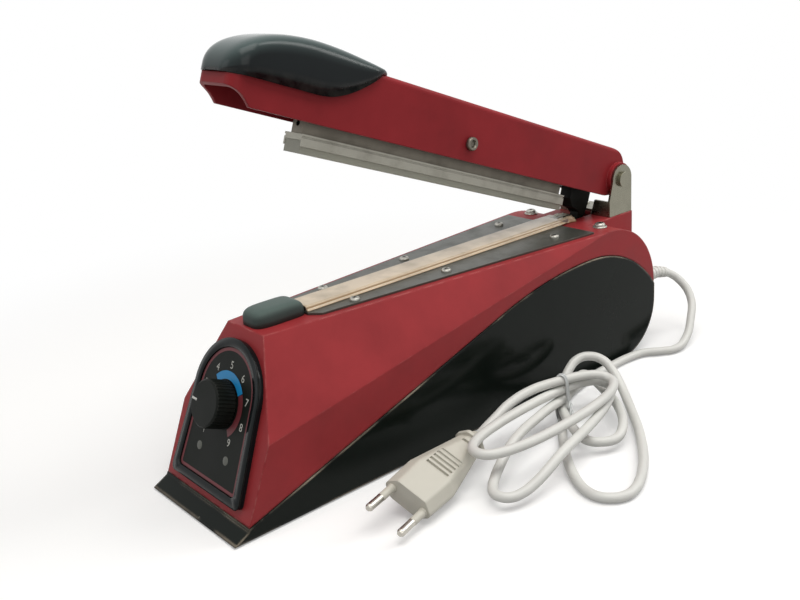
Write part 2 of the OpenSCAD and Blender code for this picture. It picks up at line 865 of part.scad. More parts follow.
// Front cap: a box whose two front corners turn the section of its sides round, and whose
// upper rear edge is rounded too
cap_corner = 6;
cap_shoulder = 4.5;
cap_back = 5;
module cap_section() {
    square([cap_corner, cap_height - cap_shoulder]);
    square([cap_corner - cap_shoulder, cap_height]);
    intersection() {
        translate([cap_corner - cap_shoulder, cap_height - cap_shoulder])
            circle(cap_shoulder, $fn = 64);
        square([cap_corner, cap_height]);
    }
}
module cap_side() {
    rear = cap_length - cap_corner;
    translate([-2 * cap_corner, -1])
        square([2 * cap_corner + rear, cap_height - cap_back + 1]);
    translate([-2 * cap_corner, -1])
        square([2 * cap_corner + rear - cap_back, cap_height + 2]);
    translate([rear - cap_back, cap_height - cap_back])
        circle(cap_back, $fn = 64);
}
module front_cap() {
    inner = cap_width / 2 - cap_corner;
    color([0.23, 0.29, 0.28])
    difference() {
        translate([0, cap_front + cap_corner, body_height])
            intersection() {
                union() {
                    mirrored()
                        translate([inner, 0, 0])
                            rotate([0, 0, -90])
                                rotate_extrude(angle = 90, $fn = 96)
                                    cap_section();
                    across(2 * inner)
                        mirror([1, 0])
                            cap_section();
                    translate([0, cap_length - cap_corner, 0])
                        rotate([90, 0, 0])
                            linear_extrude(cap_length - cap_corner)
                                mirrored() {
                                    square([inner, cap_height]);
                                    translate([inner, 0])
                                        cap_section();
                                }
                }
                across(2 * cap_width)
                    cap_side();
            }
        translate([-terminal_width / 2 - 0.5, cap_front + 10, body_height - 1])
            cube([terminal_width + 1, cap_length, cover_z - body_height + 1.6]);
    }
}
module front_terminal() {
    color([0.72, 0.58, 0.3])
    translate([-terminal_width / 2, ribbon_front - 1, body_height])
        cube([terminal_width, bar_front - cap_gap - ribbon_front + 0.5, ribbon_z - body_height]);
}
module rear_terminal() {
    color([0.72, 0.58, 0.3])
    translate([-terminal_width / 2, bar_rear + 0.8, body_height])
        cube([terminal_width, terminal_length, ribbon_z - body_height]);
}

// Hinge
module ear_outline() {
    polygon([
        [ear_front, body_height], [ear_front, body_height + flange_height],
        [pin_y - ear_radius, pin_z], [pin_y, pin_z + 1], [pin_y + ear_radius, pin_z],
        [pin_y + ear_radius, body_height]
    ]);
    translate([pin_y, pin_z])
        circle(ear_radius, $fn = 64);
}
module hinge_bracket() {
    color([0.62, 0.62, 0.58])
    difference() {
        union() {
            mirrored() {
                translate([ear_inner + sheet_thick / 2, 0, 0])
                    across(sheet_thick)
                        ear_outline();
                translate([0, ear_front + sheet_thick, body_height])
                    rotate([90, 0, 0])
                        linear_extrude(sheet_thick)
                            polygon([
                                [flange_gap, 0], [ear_outer, 0],
                                [ear_outer, flange_height], [flange_gap + 3, flange_height]
                            ]);
            }
            translate([-ear_outer, ear_front, body_height])
                cube([2 * ear_outer, rear_y - ear_front, sheet_thick]);
        }
        translate([-flange_gap, ear_front - 1, body_height - 1])
            cube([2 * flange_gap, slot_rear - ear_front + 1.5, sheet_thick + 2]);
        translate([0, pin_y, pin_z])
            along_x(4 * ear_outer)
                circle(d = pin_diameter + 2 * fit);
        at_bracket_screws()
            translate([0, 0, body_height - 1])
                cylinder(d = small_screw[0], h = sheet_thick + 2);
    }
}
module bracket_screws() {
    color([0.8, 0.8, 0.78])
    at_bracket_screws()
        translate([0, 0, body_height + sheet_thick])
            pan_screw(small_screw, sheet_thick + shell_wall + 4);
}
module hinge_pin() {
    color([0.7, 0.7, 0.66])
    translate([0, pin_y, pin_z]) {
        along_x(2 * ear_outer + 1)
            circle(d = pin_diameter);
        mirrored()
            translate([ear_outer + pin_head_thick / 2, 0, 0])
                along_x(pin_head_thick)
                    circle(d = pin_head);
    }
}
module return_spring() {
    color([0.6, 0.6, 0.6])
    tube(spring_path, spring_wire, 8);
}

// Arm
module arm_outline() {
    mouth = bezier(
        [-arm_reach, mouth_z], [-arm_reach + 0.4 * mouth_run, mouth_z - 2],
        [-arm_reach + 0.6 * mouth_run, mouth_z - 2.5], [-arm_reach + mouth_run, edge_z]);
    polygon(concat(mouth, [
        [-8, edge_z], [-2, edge_z + 1.5], [arm_back, edge_z + 9], [arm_back, arm_top - rear_corner],
        [arm_back - rear_corner, arm_top - rear_corner], [arm_back - rear_corner, arm_top],
        [-arm_reach + nose_back + nose_corner, arm_top + arm_taper],
        [-arm_reach + nose_back + nose_corner, nose_ledge], [-arm_reach, nose_ledge]
    ]));
    translate([arm_back - rear_corner, arm_top - rear_corner])
        circle(rear_corner, $fn = 64);
    nose_quarter([-arm_reach + nose_back, arm_top + arm_taper], nose_corner);
}
module nose_quarter(tip, radius) {
    intersection() {
        translate([tip[0] + radius, tip[1] - radius])
            circle(radius, $fn = 64);
        translate([tip[0] - 1, tip[1] - radius - 1])
            square([radius + 2, radius + 2]);
    }
}
module arm_hollow() {
    back = arm_back - arm_wall;
    front = -arm_reach + arm_wall;
    rear = rear_corner - arm_wall;
    nose = nose_corner - arm_wall;
    polygon([
        [front, edge_z - 10], [back, edge_z - 10], [back, arm_top - rear_corner],
        [back - rear, arm_top - rear_corner], [back - rear, arm_top - arm_wall],
        [front + nose_back + nose, arm_top + arm_taper - arm_wall],
        [front + nose_back + nose, nose_ledge - arm_wall], [front, nose_ledge - arm_wall]
    ]);
    translate([back - rear, arm_top - rear_corner])
        circle(rear, $fn = 64);
    nose_quarter([front + nose_back, arm_top + arm_taper - arm_wall], nose);
}
module arm_plan(inset) {
    half = arm_width / 2 - inset;
    corner = plan_corner - inset;
    front = -arm_reach + inset;
    translate([-half, front + corner])
        square([2 * half, arm_reach + 2 * boss_radius]);
    translate([-half + corner, front])
        square([2 * (half - corner), 2 * corner]);
    for (side = [-1, 1])
        translate([side * (half - corner), front + corner])
            circle(corner, $fn = 48);
}
// Room under the rounded long edges of the arm, which follows the rise of its top
module arm_roof(grow) {
    half = arm_width / 2 + grow;
    corner = arm_edge + grow;
    run = arm_reach - nose_back - nose_corner - rear_corner + arm_back;
    translate([0, arm_back - rear_corner, arm_top])
        rotate([90 - atan2(arm_taper, run), 0, 0])
            linear_extrude(height = 4 * arm_reach, center = true) {
                translate([-half, -3 * arm_height])
                    square([2 * half, 3 * arm_height - arm_edge]);
                translate([-half + corner, -2 * arm_edge])
                    square([2 * (half - corner), 2 * arm_edge + grow]);
                for (side = [-1, 1])
                    translate([side * (half - corner), -arm_edge])
                        circle(corner, $fn = 48);
            }
}
module arm_block() {
    intersection() {
        across(arm_width)
            arm_outline();
        translate([0, 0, -body_height])
            linear_extrude(2 * body_height)
                arm_plan(0);
        arm_roof(0);
    }
}
module arm_room() {
    intersection() {
        across(arm_width - 2 * arm_wall)
            arm_hollow();
        translate([0, 0, -body_height])
            linear_extrude(2 * body_height)
                arm_plan(arm_wall);
    }
}
handle_screw = [arm_reach - 34, arm_reach - 70];
spring_door = spring_span + 4;
module arm_shell() {
    color([0.5, 0.11, 0.13])
    on_arm()
        difference() {
            union() {
                difference() {
                    arm_block();
                    arm_room();
                }
                mirrored()
                    translate([arm_width / 2 - 0.5 + (boss_length + 0.5) / 2, 0, 0])
                        along_x(boss_length + 0.5)
                            circle(boss_radius);
            }
            along_x(4 * arm_width)
                circle(d = pin_diameter + 2 * fit);
            translate([-spring_door / 2, 0, edge_z - 1])
                cube([spring_door, arm_back + 1, spring_radius + 4 - edge_z]);
            translate([0, -pivot_reach, pivot_z])
                along_x(4 * arm_width)
                    circle(d = pivot_diameter + 2 * fit);
            for (reach = handle_screw)
                translate([0, -reach, 0])
                    cylinder(d = small_screw[0], h = 2 * arm_height);
        }
}

// Handle cap: stations from the nose to the tip, each a rounded arch over the arm
cap_crown = arm_top + arm_taper + crown_rise - 1;
cap_peak = arm_reach - 47;
cap_heel = arm_reach - 46;
cap_ridge = concat(
    bezier([cap_nose, cap_edge + 0.1], [cap_nose + 0.5, cap_crown - 6.5], [cap_nose - 27, cap_crown],
        [cap_peak, cap_crown], 16),
    [for (p = bezier([cap_peak, cap_crown], [cap_peak - 15, cap_crown], [cap_tip + 15, cap_crown - 2],
        [cap_tip, arm_top + arm_taper + 1], 14)) if (p[0] < cap_peak) p]);
cap_hem = bezier([cap_heel, cap_edge], [cap_heel - 13, cap_edge], [cap_heel - 25, 9],
    [cap_tip + 9, arm_top + 1], 24);
function cap_low(s) = s >= cap_heel ? cap_edge : lookup(-s, [for (p = cap_hem) [-p[0], p[1]]]);
function round_end(d, r) = d >= r ? 0 : r - sqrt(max(0, r * r - (r - d) * (r - d)));
function cap_width_at(s) = cap_half - round_end(cap_nose - s, 12) - round_end(s - cap_tip, 15);
function arch_point(w, low, high, k) =
    let (a = 180 * k / cap_points, c = cos(a), s = sin(a))
    [w * bow(c, cap_square), low + (high - low) * bow(s, cap_square)];
function cap_station(i) =
    let (s = cap_ridge[i][0], low = cap_low(s), high = max(cap_ridge[i][1], low + 0.1), w = max(cap_width_at(s), 2))
    [for (k = [0 : cap_points]) let (p = arch_point(w, low, high, k)) [p[0], -s, p[1]]];
module cap_loft() {
    n = cap_points + 1;
    cap_stations = len(cap_ridge) - 1;
    points = [for (i = [0 : cap_stations]) each cap_station(i)];
    skin = [for (i = [0 : cap_stations - 1], k = [0 : n - 1])
        let (a = i * n + k, b = i * n + (k + 1) % n)
        each [[a, b, a + n], [b, b + n, a + n]]];
    last = cap_stations * n;
    ends = [for (k = [1 : n - 2]) each [[0, k + 1, k], [last, last + k, last + k + 1]]];
    polyhedron(points, concat(skin, ends));
}
module handle_cap() {
    color([0.08, 0.09, 0.09])
    on_arm()
        difference() {
            cap_loft();
            intersection() {
                across(arm_width + 2 * seat_gap)
                    arm_saddle();
                arm_roof(seat_gap);
            }
            for (reach = handle_screw)
                translate([0, -reach, 0])
                    cylinder(d = small_screw[0], h = arm_top + arm_taper + 5);
        }
}
module arm_saddle() {
    nose = nose_corner + seat_gap;
    top = arm_top + arm_taper + seat_gap;
    front = -arm_reach + nose_back - seat_gap;
    polygon([
        [front, -arm_height], [front, top - nose], [front + nose, top - nose], [front + nose, top],
        [0, arm_top + seat_gap], [0, -arm_height]
    ]);
    nose_quarter([front, top], nose);
}
module handle_screws() {
    color([0.7, 0.7, 0.66])
    on_arm()
        for (reach = handle_screw)
            translate([0, -reach, arm_top + arm_taper * reach / arm_reach - arm_wall - 0.2])
                mirror([0, 0, 1])
                    pan_screw(small_screw, arm_wall + 4);
}
pivot_end = arm_width / 2;
pivot_head = pivot_diameter + 2.4;
module pivot_screw() {
    color([0.75, 0.75, 0.7])
    on_arm()
        translate([0, -pivot_reach, pivot_z]) {
            translate([1, 0, 0])
                along_x(2 * pivot_end + 4)
                    circle(d = pivot_diameter);
            translate([pivot_end + 1, 0, 0])
                along_x(2)
                    circle(d = pivot_head);
        }
}
module pivot_nut() {
    thick = 2.4;
    color([0.75, 0.75, 0.7])
    on_arm()
        translate([-pivot_end - thick / 2, -pivot_reach, pivot_z])
            along_x(thick)
                difference() {
                    circle(d = pivot_diameter + 4, $fn = 6);
                    circle(d = pivot_diameter + 2 * fit);
                }
}
spacer_gap = 0.4;
module pivot_spacers() {
    inner = web_width / 2 + spacer_gap;
    length = arm_width / 2 - arm_wall - inner - 0.1;
    color([0.82, 0.82, 0.78])
    on_arm()
        translate([0, -pivot_reach, pivot_z])
            mirrored()
                translate([inner + length / 2, 0, 0])
                    along_x(length)
                        difference() {
                            circle(d = pivot_diameter + 3);
                            circle(d = pivot_diameter + 2 * fit);
                        }
}
module switch_striker() {
    stem = pin_height + 10;
    color([0.08, 0.08, 0.08])
    on_arm() {
        across(2 * striker_half)
            polygon([[-26.4, edge_z + 3], [-26.4, edge_z - 6], [-22, edge_z - 11], [-15.5, edge_z - 12.6],
                [-14, edge_z - 14], [-9, edge_z - 14], [-8, edge_z - 5], [-8, edge_z + 3]]);
        across(2 * stem_half)
            polygon([[-15, edge_z - 12], [-14, -stem], [-9, -stem], [-8.5, edge_z - 12]]);
        translate([-arm_width / 2 + arm_wall + 0.1, -26.4, edge_z + 1])
            cube([arm_width - 2 * arm_wall - 0.2, 14, 4]);
    }
}

// Press bar
module press_bracket() {
    color([0.55, 0.54, 0.5])
    on_arm()
        difference() {
            union() {
                translate([-web_width / 2, -jaw_reach + web_setback, holder_top])
                    cube([web_width, jaw_length - web_setback - 1.5, web_top - holder_top]);
                across(web_width)
                    polygon([
                        [-pivot_reach - lug_half, web_top - 1], [-pivot_reach - 6, pivot_z + lug_top],
                        [-pivot_reach + 6, pivot_z + lug_top], [-pivot_reach + lug_half, web_top - 1]
                    ]);
            }
            translate([-web_width / 2 + web_wall, -jaw_reach + web_setback + web_wall, holder_top - 1])
                cube([web_width - 2 * web_wall, jaw_length - web_setback - 1.5 - 2 * web_wall,
                    web_top - holder_top - web_wall + 1]);
            translate([0, -pivot_reach, pivot_z])
                along_x(2 * web_width)
                    circle(d = pivot_diameter + 2 * fit);
            translate([0, -jaw_reach + web_setback + 3, holder_top + 5])
                rotate([90, 0, 0])
                    cylinder(d = 3, h = 6);
        }
}
module strip_holder() {
    groove = 0.8;
    color([0.66, 0.67, 0.67])
    on_arm()
        translate([0, -jaw_reach, 0])
            rotate([-90, 0, 0])
                linear_extrude(jaw_length)
                    mirror([0, 1])
                        difference() {
                            translate([-holder_width / 2, holder_bottom])
                                square([holder_width, holder_height]);
                            translate([-strip_width / 2 - fit, holder_bottom - 1])
                                square([strip_width + 2 * fit, strip_pocket + 1]);
                            for (side = [-1, 1])
                                translate([side * holder_width / 2 - groove, holder_top - 1.9])
                                    square([2 * groove, groove]);
                        }
}
module silicone_strip() {
    color([0.68, 0.69, 0.6])
    on_arm()
        translate([-strip_width / 2, -jaw_reach + 0.2, strip_bottom])
            cube([strip_width, jaw_length - 0.4, strip_drop + strip_pocket]);
}
module holder_screws() {
    color([0.72, 0.72, 0.7])
    on_arm()
        for (end = [0.25, 0.75])
            translate([0, -jaw_reach + end * jaw_length, holder_top])
                cylinder(d = 4.4, h = web_top - holder_top - web_wall - 0.1);
}

// Switch under the striker
module microswitch() {
    lug = 1.5;
    low = lever_z - 16;
    color([0.12, 0.12, 0.12])
    difference() {
        union() {
            translate([-switch_half, lever_y - 21, low])
                cube([2 * switch_half, 24, 12]);
            mirrored()
                translate([lever_half + 0.2, lever_y - 3, low + 11.5])
                    cube([lug, 6, lever_z - low - 9]);
            translate([0, lever_y, lever_z])
                along_x(2 * (lever_half + 0.2 + lug))
                    circle(d = lever_pin);
            translate([0, lever_y - 15, low + 11])
                cylinder(d = 3, h = 5);
        }
        for (y = [-19, 1])
            translate([0, lever_y + y, low + 3])
                along_x(4 * switch_half)
                    circle(d = 2.2);
    }
}
module switch_lever() {
    tilt = 14.5;
    color([0.75, 0.75, 0.72])
    translate([0, lever_y, lever_z])
        rotate([-tilt, 0, 0])
            difference() {
                union() {
                    translate([-lever_half, -lever_reach, 0.6])
                        cube([2 * lever_half, lever_reach, 1]);
                    along_x(2 * lever_half)
                        circle(d = lever_pin + 2.4);
                }
                along_x(4 * lever_half)
                    circle(d = lever_pin + 2 * fit);
            }
}

// Timer board and transformer
module timer_board() {
    color([0.16, 0.36, 0.2])
    translate([-board_size[0] / 2, board_y - board_size[1] / 2, board_z])
        difference() {
            cube(board_size);
            translate([board_size[0] / 2, board_size[1] / 2 - board_y, -1])
                at_standoffs()
                    cylinder(d = small_screw[0], h = board_size[2] + 2);
        }
}
module board_parts() {
    top = board_z + board_size[2];
    color([0.2, 0.22, 0.26])
    translate([0, board_y, top]) {
        translate([-18, -10, 0])
            cube([15, 20, 12]);
        translate([4, -14, 0])
            cube([12, 8, 6]);
        for (y = [2, 14])
            translate([12, y, 0])
                cylinder(d = 8, h = 11);
        translate([-20, 14, 0])
            cube([22, 8, 9]);
    }
}
module board_screws() {
    color([0.8, 0.8, 0.78])
    at_standoffs()
        translate([0, 0, board_z + board_size[2]])
            pan_screw(small_screw, board_size[2] + 6);
}
core_z = floor_z + 2;
module transformer_core() {
    color([0.4, 0.4, 0.4])
    translate([0, coil_y, core_z])
        difference() {
            union() {
                translate([-core_size[0] / 2, -core_size[1] / 2, 0])
                    cube(core_size);
                translate([-core_size[0] / 2 - foot_tab, -core_size[1] / 2, 0])
                    cube([core_size[0] + 2 * foot_tab, core_size[1], tab_thick]);
            }
            mirrored()
                translate([core_leg / 2, -core_size[1], core_size[2] / 2 - core_window[1] / 2])
                    cube([core_window[0], 2 * core_size[1], core_window[1]]);
            for (side = [-1, 1])
                translate([side * (core_size[0] / 2 + foot_tab / 2), 0, -1])
                    cylinder(d = small_screw[0], h = tab_thick + 2);
        }
}
module transformer_winding() {
    wide = core_leg + 2 * core_window[0] - 2 * seat_gap;
    tall = core_window[1] - 2 * seat_gap;
    color([0.55, 0.3, 0.12])
    translate([0, coil_y, core_z + core_size[2] / 2])
        difference() {
            cube([wide, coil_depth, tall], center = true);
            cube([core_leg + 2 * seat_gap, core_size[1] + 2 * seat_gap, 2 * tall], center = true);
        }
}
module transformer_screws() {
    color([0.8, 0.8, 0.78])
    at_coil_feet()
        translate([0, 0, core_z + tab_thick])
            pan_screw(small_screw, tab_thick + 2.8);
}

// Mains lead
module cord_gland() {
    flange = gland_neck + 4;
    color([0.88, 0.88, 0.85])
    translate([gland_x, back_y, seam_back])
        rotate([-90, 0, 0])
            difference() {
                union() {
                    translate([0, 0, -shell_wall - tongue])
                        cylinder(d = gland_neck, h = shell_wall + tongue + 1);
                    cylinder(d = flange, h = 2);
                    translate([0, 0, 2])
                        cylinder(d1 = gland_neck + 1, d2 = cord_diameter + 2, h = gland_length - 2);
                }
                translate([0, 0, gland_length - 1])
                    cylinder(d = cord_diameter - 1, h = 2);
            }
}
module cord_lead() {
    color([0.9, 0.9, 0.87])
    tube(smooth_route(lead_route), cord_diameter, lead_sides);
}
module cord_hank() {
    color([0.9, 0.9, 0.87])
    tube(hank_path, cord_diameter, hank_sides);
}
module cord_tail() {
    color([0.9, 0.9, 0.87])
    tube(smooth_route(tail_route), cord_diameter, lead_sides);
}
module cord_tie() {
    inner = cord_diameter / 2 + 1.4;
    low = hank_base - cord_diameter / 2 - 0.2;
    high = tail_top + cord_diameter / 2 + 0.3;
    color([0.85, 0.87, 0.88])
    translate([tie_point[0], tie_point[1], 0])
        rotate([90, 0, 15]) {
            linear_extrude(height = tie_wire, center = true)
                difference() {
                    translate([-inner - tie_wire, low - tie_wire])
                        square([2 * (inner + tie_wire), high - low + 2 * tie_wire]);
                    translate([-inner, low])
                        square([2 * inner, high - low]);
                }
            translate([inner + tie_wire / 2, (low + high) / 2, 0])
                rotate([0, 70, 0])
                    cylinder(d = 2, h = 8);
        }
}
module plug_slab(reach, width, thick, deep) {
    corner = 2.5;
    for (side = [-1, 1]) {
        translate([0, side * (width / 2 - corner), reach])
            cylinder(r = corner, h = deep, $fn = 24);
        for (edge = [-1, 1])
            translate([edge * (thick / 2 - corner), side * (width / 2 - plug_bevel), reach])
                cylinder(r = corner, h = deep, $fn = 24);
    }
}
module plug_body() {
    rib_count = 5;
    rib_pitch = 3.2;
    front = relief_length + plug_length;
    shoulder = front - 20;
    shoulder_width = pin_spacing + plug_pin[0] + 5;
    color([0.86, 0.83, 0.75])
    on_plug()
        difference() {
            union() {
                cylinder(d1 = cord_diameter + 3, d2 = cord_diameter + 5, h = relief_length);
                hull()
                    plug_slab(relief_length, 17, plug_thick, 2.4);
                hull() {
                    plug_slab(relief_length, 13, plug_thick - 3, 1);
                    plug_slab(shoulder, shoulder_width, plug_thick - 0.4, 1);
                }
                hull() {
                    plug_slab(shoulder, shoulder_width, plug_thick - 0.4, 1);
                    plug_slab(front - 1, shoulder_width - 1.4, plug_thick - 1, 1);
                }
            }
            for (rib = [0 : rib_count - 1])
                translate([-plug_thick / 2, 0, relief_length + 22 + rib_pitch * rib])
                    cube([3.2, 13, rib_pitch / 2], center = true);
            translate([-plug_thick / 2, 0, relief_length + 7])
                cube([5, 6, rib_pitch / 2], center = true);
            for (side = [-1, 1])
                translate([0, side * pin_spacing / 2, front - 12])
                    cylinder(d = plug_pin[0] + 2 * fit, h = 14);
        }
}
module plug_pins() {
    front = relief_length + plug_length;
    color([0.75, 0.72, 0.66])
    on_plug()
        for (side = [-1, 1])
            translate([0, side * pin_spacing / 2, front - 11]) {
                cylinder(d = plug_pin[0], h = 11 + plug_pin[1] - 1);
                translate([0, 0, 11 + plug_pin[1] - 1])
                    cylinder(d1 = plug_pin[0], d2 = plug_pin[0] - 1.2, h = 1);
            }
}

base_tray();
top_casing();
rubber_feet();
base_screws();
casing_screws();
dial_bezel();
dial_plate();
pot_body();
pot_nut();
timer_knob();
knob_pointer();
pot_shaft();
top_plate();
plate_screws();
element_bar();
insulating_strip();
heating_ribbon();
ptfe_cover();
front_cap();
front_terminal();
rear_terminal();
hinge_bracket();
bracket_screws();
hinge_pin();
return_spring();
arm_shell();
handle_cap();
handle_screws();
pivot_screw();
pivot_nut();
pivot_spacers();
switch_striker();
press_bracket();
strip_holder();
silicone_strip();
holder_screws();
microswitch();
switch_lever();
timer_board();
board_parts();
board_screws();
transformer_core();
transformer_winding();
transformer_screws();
cord_gland();
cord_lead();
cord_hank();
cord_tail();
cord_tie();
plug_body();
plug_pins();
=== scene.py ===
import json
from math import acos, copysign, cos, hypot, pi, radians, sin, sqrt, tau

import bmesh
import bpy
from bpy.props import FloatProperty, FloatVectorProperty, IntProperty, PointerProperty
from mathutils import Matrix, Vector, noise
from mathutils.geometry import interpolate_bezier


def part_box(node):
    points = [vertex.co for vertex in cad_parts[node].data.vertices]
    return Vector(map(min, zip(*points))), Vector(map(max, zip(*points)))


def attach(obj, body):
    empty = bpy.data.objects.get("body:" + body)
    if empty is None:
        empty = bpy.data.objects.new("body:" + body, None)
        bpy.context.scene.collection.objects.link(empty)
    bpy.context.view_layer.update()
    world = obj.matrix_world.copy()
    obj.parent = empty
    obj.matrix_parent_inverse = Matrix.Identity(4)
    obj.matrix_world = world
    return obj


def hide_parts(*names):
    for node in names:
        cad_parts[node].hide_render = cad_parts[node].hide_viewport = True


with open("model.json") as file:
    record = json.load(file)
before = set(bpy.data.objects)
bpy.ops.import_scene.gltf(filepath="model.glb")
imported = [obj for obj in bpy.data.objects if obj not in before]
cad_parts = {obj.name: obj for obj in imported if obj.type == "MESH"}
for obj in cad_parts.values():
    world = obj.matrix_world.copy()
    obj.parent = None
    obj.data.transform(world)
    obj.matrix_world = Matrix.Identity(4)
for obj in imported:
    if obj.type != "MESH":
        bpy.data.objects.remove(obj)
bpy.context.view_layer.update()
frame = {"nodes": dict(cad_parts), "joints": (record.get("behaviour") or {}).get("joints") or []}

bl_info = {
    "name": "Hand impulse sealer",
    "version": (1, 0, 0),
    "blender": (4, 5, 0),
    "location": "View3D > Sidebar > Sealer",
    "description": "Dresses the solids of a hand impulse sealer with its cord, print, screws and finishes",
    "category": "Object",
}

MM = 0.001
NODES = frame["nodes"]
JOINTS = {joint["name"]: joint for joint in frame["joints"]}
# Points of a CAD mesh that lie this close are one point
WELD = 1e-6

# The camera: where it stands, and its azimuth, elevation and roll in degrees
CAMERA_EYE = Vector((394.954, -337.99, 253.239)) * MM
CAMERA_TURN = (51.032, 19.605, -4.517)
CAMERA_SENSOR = 36.0
CAMERA_LENS = 44.384
# The lights: name, place, size, power and tint
LIGHTS = (
    ("key", (0.3, -0.1, 1.5), (1.1, 1.1), 14.0, (1.0, 0.98, 0.95)),
    ("strip", (0.5, 0.95, 1.05), (0.3, 1.2), 7.0, (1.0, 1.0, 0.98)),
    ("side", (1.5, -0.6, 0.8), (0.9, 0.9), 3.5, (1.0, 0.99, 0.97)),
    ("front", (-0.6, -1.5, 0.9), (0.9, 0.9), 3.0, (0.97, 0.99, 1.0)),
)
LIGHTS_AIM = Vector((0, 0, 0.06))
WHITE = (1.0, 1.0, 1.0, 1.0)
# The floor keeps its shadow up to the first distance from its middle, and is plain white from the second
FLOOR_MIDDLE = (0.06, -0.02, 0.0)
FLOOR_FADE = (0.28, 0.55)

# The dial face: knob centre, the way out of the face and the way up it
DIAL_CENTRE = Vector(JOINTS["timer_knob"]["pos_m"])
DIAL_OUT = -Vector(JOINTS["timer_knob"]["axis"]).normalized()
DIAL_RIGHT = Vector((1, 0, 0))
DIAL_UP = DIAL_OUT.cross(DIAL_RIGHT)
# Degrees from the first numeral to the last, lift of the print, and a digit's share of its font size
DIAL_SWEEP = 288
PRINT_LIFT = 0.05 * MM
DIGIT_SHARE = 0.7

# The arm as it stands open: its hinge, the way along it and the way up from its back
ARM_PIN = Vector(JOINTS["arm_hinge"]["pos_m"])
ARM_OPEN = radians(20.6)
ARM_OUT = Vector((0, -cos(ARM_OPEN), sin(ARM_OPEN)))
ARM_UP = Vector((0, sin(ARM_OPEN), cos(ARM_OPEN)))

# The handle cap on the arm, in millimetres: reach from the hinge and height
CAP_NOSE = 284.0
CAP_TIP = 191.2
CAP_HALF = 17.7
CAP_EDGE = 0.9
CAP_RIDGE = (
    interpolate_bezier((CAP_NOSE, 1.0), (284.5, 19.4), (257, 25.9), (235.2, 25.9), 40)
    + interpolate_bezier((235.2, 25.9), (220.2, 25.9), (206.2, 23.9), (CAP_TIP, 20.5), 24)[1:]
)
CAP_HEM = interpolate_bezier((236.2, CAP_EDGE), (223.2, CAP_EDGE), (211.2, 9), (199.2, 19.2), 30)
# How square its section is, how many faces go round it, and the wall of both caps
CAP_BOW = 0.45
CAP_STEPS = 40
CAP_WALL = 0.8 * MM

# The rear right corner of the tray, from which the cord's points are taken
CORD_CORNER = Vector((40, 159.011, 0)) * MM

# Free cord from the gland to the tie, in millimetres from the corner
LEAD_POINTS = (
    (-12, 10, 42.5), (-12, 15, 42.5), (-10.5, 23, 40.5), (-6, 31.5, 34.5), (3, 32, 25), (12, 20, 13),
    (17, 7, 5), (18, -5, 2.75), (13, -14, 2.75), (7, -22, 2.75), (4.5, -34, 2.75), (4.5, -52, 2.75),
    (5.5, -71, 2.75), (8.5, -89, 2.75), (14, -105, 2.75), (20.5, -114.5, 3.4), (26, -121, 3.9),
)
# Loops of the hank: fan angle, reach, back, half width, tip height and lift
HANK_LOOPS = (
    (47, 82, 38, 20, 0, 18), (40, 36, 24, 15, 4, 8), (75, 92, 25, 14, 4, 0), (87, 82, 24, 14, 18.5, 0),
)
LOOP_STEPS = 26
HANK_TIE = (29, -125)
HANK_BASE = 3.9
HANK_STEP = 5.6
TAIL_FAN = 97
# Free cord from the tie to the plug
TAIL_POINTS = (
    (27.7, -129.8, 26.3), (23.2, -142.8, 25), (21, -158, 21.7), (22.2, -170, 18.3), (23.3, -178, 16.3),
    (24.3, -183, 15.2), (25.4, -187.4, 14.7),
)
PLUG_PLACE = (
    Matrix.Translation(CORD_CORNER + Vector(TAIL_POINTS[-1]) * MM)
    @ Matrix.Rotation(radians(-76), 4, "Z")
    @ Matrix.Rotation(radians(93), 4, "Y")
    @ Matrix.Rotation(radians(-27), 4, "Z")
)
# The plug's front face along its own axis, and its pins' distance from that axis
PLUG_FRONT = 62 * MM
PIN_ASIDE = 9.3 * MM

# A screw head's profile, as shares of its radius and height, and its cross recess, as shares of its radius
HEAD_PROFILE = ((1, 0), (1, 0.4), (0.94, 0.72), (0.8, 0.93), (0.62, 1))
HEAD_STEPS = 24
CROSS_HALF = 0.13
CROSS_ARM = 0.5
# The screws drawn anew: node, head radius, head height and washer height, in millimetres
SCREWS = (
    ("plate_screws", 2.7, 1.6, 0.0), ("casing_screws", 3.1, 1.9, 0.8), ("bracket_screws", 2.7, 1.6, 0.0),
)
SCREW_SHANK = 1.45 * MM
WASHER_RADIUS = 4.2 * MM

# Which finish each solid wears
FINISH_OF_NODES = {
    "casing_red": ("top_casing",),
    "arm_red": ("arm_shell",),
    "tray_black": ("base_tray",),
    "handle_black": ("handle_cap",),
    "bezel_black": ("dial_bezel",),
    "cap_slate": ("front_cap",),
    "black_plastic": ("timer_knob", "switch_striker", "microswitch", "dial_plate"),
    "white_plastic": ("knob_pointer",),
    "ivory_plastic": ("plug_body", "pivot_spacers"),
    "rubber_black": ("rubber_feet",),
    "silicone": ("silicone_strip",),
    "steel": ("press_bracket", "switch_lever", "return_spring", "pot_shaft", "pivot_nut", "transformer_core"),
    "nickel": ("hinge_bracket", "hinge_pin", "pot_nut", "front_terminal", "rear_terminal"),
    "screw_metal": ("casing_screws", "plate_screws", "bracket_screws", "base_screws", "board_screws",
                    "transformer_screws", "handle_screws", "holder_screws", "pivot_screw"),
    "pin_metal": ("plug_pins",),
    "plate_grey": ("top_plate",),
    "aluminium": ("strip_holder", "element_bar", "heating_ribbon", "pot_body"),
    "tan_cloth": ("ptfe_cover", "insulating_strip"),
    "board_green": ("timer_board",),
    "parts_dark": ("board_parts",),
    "copper": ("transformer_winding",),
    "cord_white": ("cord_lead", "cord_hank", "cord_tail", "cord_tie", "cord_gland"),
}


# Shapes

def finish_of(name):
    return bpy.data.materials[name + "_finish"]


def link(name, data):
    """Makes an object and links it to the scene."""
    made = bpy.data.objects.new(name, data)
    bpy.context.scene.collection.objects.link(made)
    return made


